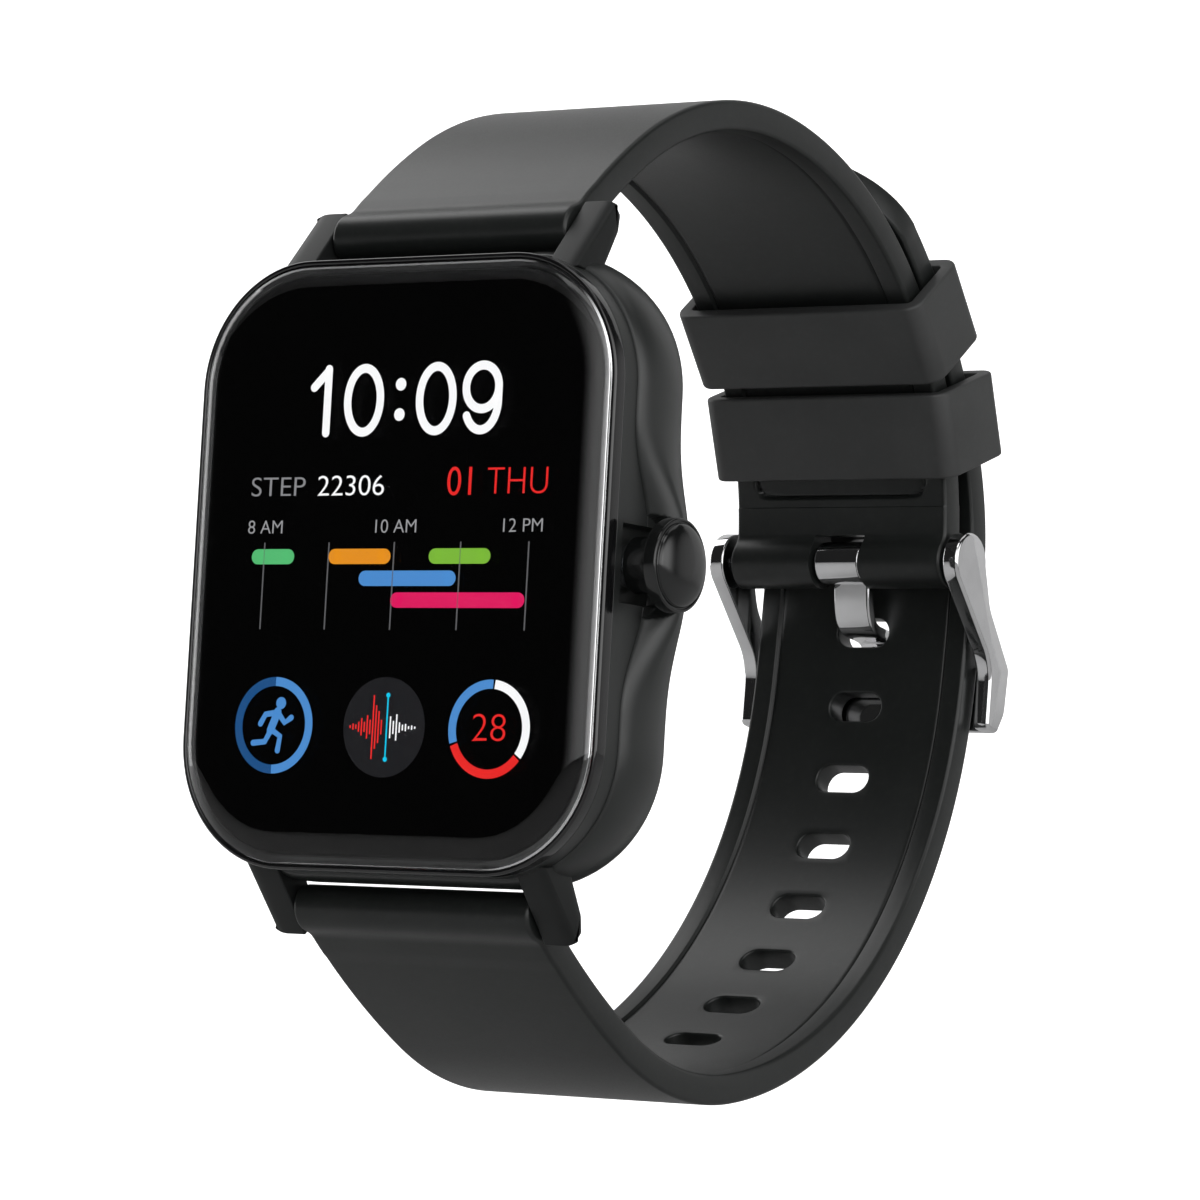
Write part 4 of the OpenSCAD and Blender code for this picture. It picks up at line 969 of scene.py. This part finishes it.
def buildBuckle():
    # two keyhole-shaped cheeks with rolled rims, joined by a flat crossbar outside the long strap
    half, thick = buckle["barLength"] / 2, buckle["barThick"]
    target = crossbarSpot(0, thick / 2) - buckleBar
    down = target / np.hypot(*target)
    out = np.array([-down[1], down[0]])
    if (crossbarSpot(0, 1) - crossbarSpot(0, 0)) @ out < 0:
        out = -out
    base = math.atan2(out[1], out[0])
    turn = 1 if (down[0] * out[1] - down[1] * out[0]) > 0 else -1
    a = base + turn * np.radians(np.linspace(-30, 196, 40))
    headArc = buckleBar + buckle["head"] * np.stack([np.cos(a), np.sin(a)], -1)
    waistOut = buckleBar + down * buckle["waistAt"] + out * buckle["waist"]
    corner = buckle["barCorner"]
    lower = roundedCorners([headArc[-1], crossbarSpot(-2.4, -1.45), crossbarSpot(half, -1.0),
                            crossbarSpot(half, corner), crossbarSpot(0.9, thick), crossbarSpot(-half, thick),
                            waistOut, headArc[0]], [0, 4.0, 0.5, 0.5, 2.0, 1.0, 3.5, 0], 10)
    outline = np.concatenate([headArc, lower[1:-1]])
    inner, outer, rim = buckle["cheekIn"], buckle["cheekIn"] + buckle["cheek"], buckle["edge"]
    right = plate(outline, inner, outer, (0.15, 0.15), (rim, rim), steps=7)
    left = (right[0] * (-1, 1, 1), right[1])
    barOutline = roundedCorners([crossbarSpot(-half, 0), crossbarSpot(half, 0), crossbarSpot(half, corner),
                                 crossbarSpot(0.9, thick), crossbarSpot(-half, thick)],
                                [0.25, 0.25, 0.3, 2.0, 0.45], 8)
    bar = plate(barOutline, -outer + 0.1, outer - 0.1, (0.3, 0.3), (0.3, 0.3))
    return joined([right, left, bar])


def softened(line, rounds=4):
    # cuts each corner at a quarter and three quarters of its sides, again and again
    for _ in range(rounds):
        near, far = 0.75 * line[:-1] + 0.25 * line[1:], 0.25 * line[:-1] + 0.75 * line[1:]
        line = np.concatenate([line[:1], np.stack([near, far], 1).reshape(-1, 2), line[-1:]])
    return line


def buildTongue():
    # a ring round the bar, and a rounded section carried along a bent line: out through the hole and down onto
    # the crossbar
    t = tongue["thick"]
    rest = buckle["barThick"] + tongue["gap"] + t / 2

    def spot(outBy, alongBy):  # measured out from the long strap and along it, at the tongue's hole
        y, z, _ = outward(longPlace(np.array(hole["tongueAt"] + alongBy)), outBy)
        return np.array([float(y), float(z)])

    bends = [buckleBar + (1.15, 0.5), buckleBar + (1.2, -0.9), spot(-2.5, -1.2), spot(-1.5, -0.1),
             spot(0.2, 0.0), spot(1.7, 0.15), crossbarSpot(-2.6, rest), crossbarSpot(-1.2, rest), crossbarSpot(0.8, rest)]
    line = softened(np.array(bends))
    ahead = np.gradient(line, axis=0)
    ahead /= np.hypot(*ahead.T)[:, None]
    side = np.stack([-ahead[:, 1], ahead[:, 0]], -1)
    half = tongue["width"] / 2
    section = roundedCorners([(-half, -t / 2), (half, -t / 2), (half, t / 2), (-half, t / 2)],
                             tongue["corner"], 6)
    yz = line[:, None] + side[:, None] * section[None, :, 1:2]
    x = np.broadcast_to(section[None, :, 0], yz.shape[:2])
    points = np.concatenate([x[..., None], yz], -1)
    w, low, high = tongue["ringWidth"] / 2, tongue["ringIn"], tongue["ringOut"]
    profile = roundedCorners([(-w, low), (w, low), (w, high), (-w, high)], [0.05, 0.05, 0.18, 0.18], 6)
    ringPoints, _ = turned(profile, buckleBar, around=72)
    ringFaces = gridFaces(len(profile), 72, loopRows=True).reshape(-1, 4).tolist()
    return joined([(points, closedFaces(len(line), len(section))), (ringPoints, ringFaces)])


addPiece("buckleFrame", buildBuckle(), "buckleChrome", "buckle", ["buckle_frame"])
addPiece("buckleTongue", buildTongue(), "buckleChrome", "tongue", ["buckle_tongue"])
print("buckle made")

ink = {"white": (1, 1, 1), "grey": (0.25, 0.25, 0.26), "label": (0.33, 0.33, 0.34), "line": (0.11, 0.11, 0.115),
       "red": (0.82, 0.018, 0.016), "green": (0.09, 0.5, 0.17), "orange": (0.8, 0.28, 0.012),
       "lime": (0.2, 0.48, 0.04), "blue": (0.07, 0.26, 0.62), "deepBlue": (0.008, 0.075, 0.23),
       "magenta": (0.75, 0.008, 0.11), "cyan": (0.0, 0.55, 0.8), "disc": (0.007, 0.007, 0.0085)}
clock = {"pen": 0.62, "high": 13.55, "low": 9.1, "noughts": (-3.3, 2.85), "noughtHalf": 1.4, "dots": 0.44}
dial = {"z": -11.3, "radius": 3.05, "pen": 0.62, "places": (-9.5, 0.0, 8.8), "disc": 3.45, "limb": 0.42}
inked = []


def addInk(shape, colour):  # keeps a shape of the display with its colour
    points, faces = shape
    inked.append((np.asarray(points, float).reshape(-1, 3), faces, ink[colour]))


def stroke(line, width, closed=False):
    # a flat ribbon of one width along a line: two rims offset by half the width, front and back
    line = np.asarray(line, float)
    ahead = np.roll(line, -1, 0) - np.roll(line, 1, 0) if closed else np.gradient(line, axis=0)
    ahead /= np.hypot(*ahead.T)[:, None]
    side = np.stack([-ahead[:, 1], ahead[:, 0]], -1) * width / 2
    back, front = -graphics["depth"] + graphics["thickness"] / 2, -graphics["depth"] - graphics["thickness"] / 2
    rims = [(line + side, back), (line + side, front), (line - side, front), (line - side, back)]
    points = np.stack([np.stack([p[:, 0], np.full(len(p), y), p[:, 1]], -1) for p, y in rims], 1)
    if closed:
        return points, gridFaces(len(line), 4, loopRows=True).reshape(-1, 4).tolist()
    return points, closedFaces(len(line), 4)


def cap(centre, radius, count=28):
    # a thin flat disc, as a circle carried through the ink's thickness
    depth, half, edge = graphics["depth"], graphics["thickness"] / 2, (0.001, 0.001)
    circle = arcPoints(centre, (radius, radius), 0, 360, count + 1)[:-1]
    return plate(circle, -depth - half, -depth + half, edge, edge, "y", 2)


def roundedStroke(line, width, colour, closed=False):
    # a ribbon with a disc, a hair narrower, on each open end
    addInk(stroke(line, width, closed), colour)
    if not closed:
        addInk(cap(line[0], width / 2 * 0.995), colour)
        addInk(cap(line[-1], width / 2 * 0.995), colour)


def words(text, size, x, z, colour, squeeze=0.82, align="LEFT", bold=0.0):
    # letters as a mesh, their widths scaled and their outlines moved in or out by bold
    curve = bpy.data.curves.new("letters", "FONT")
    curve.body, curve.size, curve.align_x, curve.align_y = text, size, align, "CENTER"
    curve.offset, curve.extrude = bold, graphics["thickness"] / 2
    made = bpy.data.objects.new("letters", curve)
    bpy.context.scene.collection.objects.link(made)
    bpy.context.view_layer.update()
    mesh = bpy.data.meshes.new_from_object(made.evaluated_get(bpy.context.evaluated_depsgraph_get()))
    points = np.zeros(len(mesh.vertices) * 3)
    mesh.vertices.foreach_get("co", points)
    points = points.reshape(-1, 3)
    faces = [list(p.vertices) for p in mesh.polygons]
    placed = np.stack([x + points[:, 0] * squeeze, -graphics["depth"] - points[:, 2], z + points[:, 1]], -1)
    addInk((placed, faces), colour)
    bpy.data.objects.remove(made)
    bpy.data.meshes.remove(mesh)


def drawClock():
    # the time in drawn figures: ellipses, straight lines and a hook, two dots between
    pen, high, low, halfWidth = clock["pen"], clock["high"], clock["low"], clock["noughtHalf"]
    mid, tall = (high + low) / 2, (high - low) / 2
    for x in clock["noughts"]:
        roundedStroke(arcPoints((x, mid), (halfWidth, tall), 0, 360, 65)[:-1], pen, "white", closed=True)
    roundedStroke([(-7.65, high - 1.25), (-6.45, high - 0.1)], pen, "white")
    roundedStroke([(-6.45, high), (-6.45, (high + low) / 2), (-6.45, low)], pen, "white")
    roundedStroke(arcPoints((6.7, high - 1.5), (1.36, 1.5), 0, 360, 65)[:-1], pen, "white", closed=True)
    hook = np.concatenate([[(8.06, high - 1.5)], arcPoints((6.68, low + 1.95), (1.38, 1.95), 0, -150, 30)])
    roundedStroke(hook, pen, "white")
    for z in (mid - 1.05, mid + 1.05):
        addInk(cap((-0.2, z), clock["dots"]), "white")


def drawDay():
    # step count and weekday, then hour lines under their labels with a rounded bar for each activity
    words("STEP", 1.95, -12.75, 5.3, "grey", 1.2, bold=-0.022)
    words("22306", 2.05, -6.95, 5.32, "white", 1.15, bold=-0.02)
    words("01", 2.85, 4.1, 5.5, "red", 0.93, bold=-0.015)
    words("THU", 2.75, 7.45, 5.5, "red", 0.94, bold=-0.05)
    for text, x in (("8 AM", -12.8), ("10 AM", -2.0), ("12 PM", 8.75)):
        words(text, 1.36, x, 2.5, "label", 1.05, bold=-0.016)
    for x in (-11.2, -5.6, 0.0, 5.6, 11.25):
        addInk(stroke([(x, 1.45), (x, -1.6), (x, -4.6)], 0.1), "line")
    bars = ((-11.75, -9.1, 0.47, "green"), (-5.05, -0.8, 0.47, "orange"), (3.5, 7.6, 0.47, "lime"),
            (-2.35, 4.8, -1.05, "blue"), (0.45, 10.6, -2.55, "magenta"))
    for x0, x1, z, colour in bars:
        roundedStroke([(x0, z), ((x0 + x1) / 2, z), (x1, z)], 1.06, colour)


def drawDials():
    # a runner in a ring, a sound wave on a disc and a number in a ring of three arcs
    z, radius, pen, limbPen = dial["z"], dial["radius"], dial["pen"], dial["limb"]
    left, middle, right = ((x, z) for x in dial["places"])
    addInk(stroke(arcPoints(left, (radius, radius), -90, 90, 60), pen), "blue")
    addInk(stroke(arcPoints(left, (radius, radius), 90, 270, 60), pen), "deepBlue")
    addInk(cap((left[0] + 0.55, z + 1.55), limbPen), "blue")
    limbs = [[(0.3, 0.95), (-0.25, -0.35)], [(0.3, 0.9), (-0.75, 0.75), (-1.15, 0.1)],
             [(0.35, 0.85), (0.95, 0.2), (1.5, 0.55)], [(-0.2, -0.3), (0.6, -0.75), (0.45, -1.75)],
             [(-0.25, -0.4), (-0.7, -1.15), (-1.7, -1.25)]]
    for limb in limbs:
        roundedStroke(np.array(limb) + left, limbPen if len(limb) > 2 else pen, "blue")
    addInk(cap(middle, dial["disc"], 64), "disc")
    graphics["depth"] += graphics["thickness"] * 1.5  # the wave lies on the disc
    redWave = (0.1, 0.22, 0.15, 0.35, 0.6, 0.35, 0.8, 0.5, 2.2, 1.5, 1.1, 0.5)
    whiteWave = (0.75, 0.45, 0.9, 0.35, 0.2, 0.25, 0.1, 0.15, 0.08)
    for heights, start, pitch, colour in ((redWave, -2.85, 0.24, "red"), (whiteWave, 0.55, 0.26, "white")):
        for i, height in enumerate(heights):
            x = middle[0] + start + i * pitch
            addInk(stroke([(x, z - height), (x, z), (x, z + height)], 0.1), colour)
    addInk(stroke([(0.25, z - 2.15), (0.25, z), (0.25, z + 2.15)], 0.11), "cyan")
    addInk(cap((0.25, z + 2.2), 0.17), "cyan")
    addInk(cap((0.25, z - 2.2), 0.17), "cyan")
    graphics["depth"] -= graphics["thickness"] * 1.5
    for start, end, count, colour in ((-36, 84, 46, "white"), (87, 198, 44, "blue"), (201, 321, 46, "red")):
        addInk(stroke(arcPoints(right, (radius, radius), start, end, count), pen), colour)
    words("28", 2.75, *right, "red", 1.1, "CENTER", bold=-0.05)


drawClock()
drawDay()
drawDials()
inkShape = joined([(points, faces) for points, faces, _ in inked])
inkColours = np.concatenate([np.broadcast_to((*colour, 1.0), (len(points), 4)) for points, _, colour in inked])
addPiece("displayGraphics", inkShape, "displayGraphics", "case", colours=inkColours)
print("display graphics made")

slotLooks = {"gasket": "gasketRubber", "flex": "amberFilm", "steel": "steel", "foil": "foilPouch",
             "lead_red": "redWire", "board": "boardMask", "black_plastic": "blackPlastic",
             "white_plastic": "whitePlastic", "led": "ledEpoxy", "sensor_dark": "darkEpoxy",
             "magnet": "nickelPlate", "gold": "goldPlate", "case_metal": "caseCoating",
             "chrome": "buckleChrome", "silicone": "silicone", "glass": "coverGlass", "display": "displayBlack",
             "gloss_black": "blackGloss", "rear_plastic": "rearPlastic", "sensor_glass": "sensorWindow"}
slotOf = {part["node"]: part["material_slot"] for part in frame["record"]["subparts"]}
for nodeName, node in frame["nodes"].items():
    node.data.materials.clear()
    node.data.materials.append(looks[slotLooks[slotOf[nodeName]]])
print("inside finished")

stage = {"floor": -48.0, "flat": 420.0, "sweep": 260.0, "rise": 700.0, "halfWidth": 1300.0, "near": 900.0}
view = {"azimuth": 34.16, "elevation": -4.45, "roll": 3.10, "distance": 391.3, "lens": 160.29,
        "aim": (-1.94, 18.72, 0.14)}


def buildFloor():
    # a flat floor that curves up behind into a backdrop, square to the camera
    a = np.linspace(0, math.pi / 2, 24)
    flat, sweep = stage["flat"], stage["sweep"]
    run = np.concatenate([[-stage["near"]], flat + sweep * np.sin(a), [flat + sweep]])
    height = np.concatenate([[0], sweep * (1 - np.cos(a)), [sweep + stage["rise"]]]) + stage["floor"]
    across = np.linspace(-stage["halfWidth"], stage["halfWidth"], 9)
    c, s = math.cos(math.radians(view["azimuth"])), math.sin(math.radians(view["azimuth"]))
    x = across[None] * c - run[:, None] * s
    y = across[None] * s + run[:, None] * c
    points = np.stack([x, y, np.broadcast_to(height[:, None], x.shape)], -1)
    mesh = bpy.data.meshes.new("floor")
    faces = gridFaces(*points.shape[:2], loopCols=False).reshape(-1, 4).tolist()
    mesh.from_pydata((points.reshape(-1, 3) * mm).tolist(), [], faces)
    mesh.polygons.foreach_set("use_smooth", np.ones(len(mesh.polygons), bool))
    floor = bpy.data.objects.new("floor", mesh)
    bpy.context.scene.collection.objects.link(floor)
    tree, shader, place = newLook("paleFloor")
    noise = newNode(tree, "TexNoise", {"Vector": place, "Scale": 0.01})
    pale = newNode(tree, "MapRange", {"Value": noise.outputs["Fac"], "To Min": 0.6, "To Max": 0.64})
    grey = newNode(tree, "CombineColor", {channel: pale.outputs["Result"] for channel in range(3)})
    seen = newNode(tree, "LightPath").outputs["Is Camera Ray"]  # the floor's glow is seen, but lights nothing
    linked(tree, (grey.outputs[0], shader.inputs["Base Color"]), (seen, shader.inputs["Emission Strength"]))
    shader.inputs["Roughness"].default_value = 0.9
    shader.inputs["Specular IOR Level"].default_value = 0.1
    shader.inputs["Emission Color"].default_value = (1, 1, 1, 1)
    mesh.materials.append(looks["paleFloor"])
    floor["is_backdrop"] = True


def direction(azimuth, elevation):  # towards a place so many degrees round from the front and up
    a, e = math.radians(azimuth), math.radians(elevation)
    return Vector((math.sin(a) * math.cos(e), -math.cos(a) * math.cos(e), math.sin(e)))


def softbox(name, azimuth, elevation, distance, width, height, power, aim=(0, 20, 0)):
    # a flat rectangular light in a direction from its aim, turned to face it
    light = bpy.data.lights.new(name, "AREA")
    light.shape, light.size, light.size_y, light.energy = "RECTANGLE", width * mm, height * mm, power
    lamp = bpy.data.objects.new(name, light)
    toLamp = direction(azimuth, elevation)
    lamp.location = Vector(aim) * mm + toLamp * distance * mm
    lamp.rotation_euler = toLamp.to_track_quat("Z", "Y").to_euler()
    bpy.context.scene.collection.objects.link(lamp)


sky = {"dim": 0.015,
       "glows": [(30, 6, 4, 52, 1.8), (86, 8, 4, 40, 1.9), (146, 5, 6, 26, 0.42), (196, 6, 4, 28, 1.0)]}


def lightScene():
    # four soft boxes, and a dim sky with soft round glows, each (azimuth, elevation, inner angle, outer angle,
    # strength) rising smoothly with the cosine of the angle from its middle; the camera sees the sky as white
    softbox("leftBox", -84, 10, 620, 200, 520, 0.8)
    softbox("topLeftBox", -96, 52, 300, 150, 230, 0.2, aim=(-20, 20, 14))
    softbox("topBox", 160, 74, 620, 420, 420, 0.35)
    softbox("frontTop", 20, 62, 640, 380, 200, 0.45)
    bpy.context.scene.view_settings.view_transform = "Standard"
    world = bpy.data.worlds.new("studio")
    world.use_nodes = True
    bpy.context.scene.world = world
    tree = world.node_tree
    place, total = newNode(tree, "TexCoord").outputs["Generated"], sky["dim"]
    for azimuth, elevation, inner, outer, strength in sky["glows"]:
        dot = newNode(tree, "VectorMath", {0: place, 1: direction(azimuth, elevation)}, operation="DOT_PRODUCT")
        level = newNode(tree, "MapRange", {
            "Value": dot.outputs["Value"], "From Min": math.cos(math.radians(outer)),
            "From Max": math.cos(math.radians(inner)), "To Min": 0, "To Max": strength},
            interpolation_type="SMOOTHSTEP")
        total = newNode(tree, "Math", {0: level.outputs["Result"], 1: total}, operation="ADD").outputs[0]
    seen = newNode(tree, "LightPath").outputs["Is Camera Ray"]
    glow, white = tree.nodes["Background"], newNode(tree, "Background", {"Color": (1, 1, 1, 1), "Strength": 1.0})
    glow.inputs["Color"].default_value = (1, 1, 1, 1)
    mix = newNode(tree, "MixShader", {"Fac": seen, 1: glow.outputs[0], 2: white.outputs[0]})
    surface = tree.nodes["World Output"].inputs["Surface"]
    linked(tree, (total, glow.inputs["Strength"]), (mix.outputs[0], surface))


def placeCamera():
    # at a distance from its aim, level, then rolled a little about its own axis
    back, azimuth = direction(view["azimuth"], view["elevation"]), math.radians(view["azimuth"])
    level = Vector((math.cos(azimuth), math.sin(azimuth), 0))
    upright, roll = back.cross(level), math.radians(view["roll"])
    right = level * math.cos(roll) + upright * math.sin(roll)
    up = upright * math.cos(roll) - level * math.sin(roll)
    camera = bpy.data.objects.new("camera", bpy.data.cameras.new("camera"))
    camera.data.sensor_width, camera.data.lens = 36, view["lens"]
    camera.data.clip_start, camera.data.clip_end = 0.01, 20
    turn = Matrix((right, up, back)).transposed()
    spot = (Vector(view["aim"]) + back * view["distance"]) * mm
    camera.matrix_world = Matrix.Translation(spot) @ turn.to_4x4()
    bpy.context.scene.collection.objects.link(camera)
    bpy.context.scene.camera = camera


buildFloor()
lightScene()
placeCamera()
bpy.context.view_layer.update()
endBox = [list(corner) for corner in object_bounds()]
for title, box in (("frame", startBox), ("visual", endBox)):
    print(title, "box in mm:", np.round(np.array(box) / mm, 2).tolist())
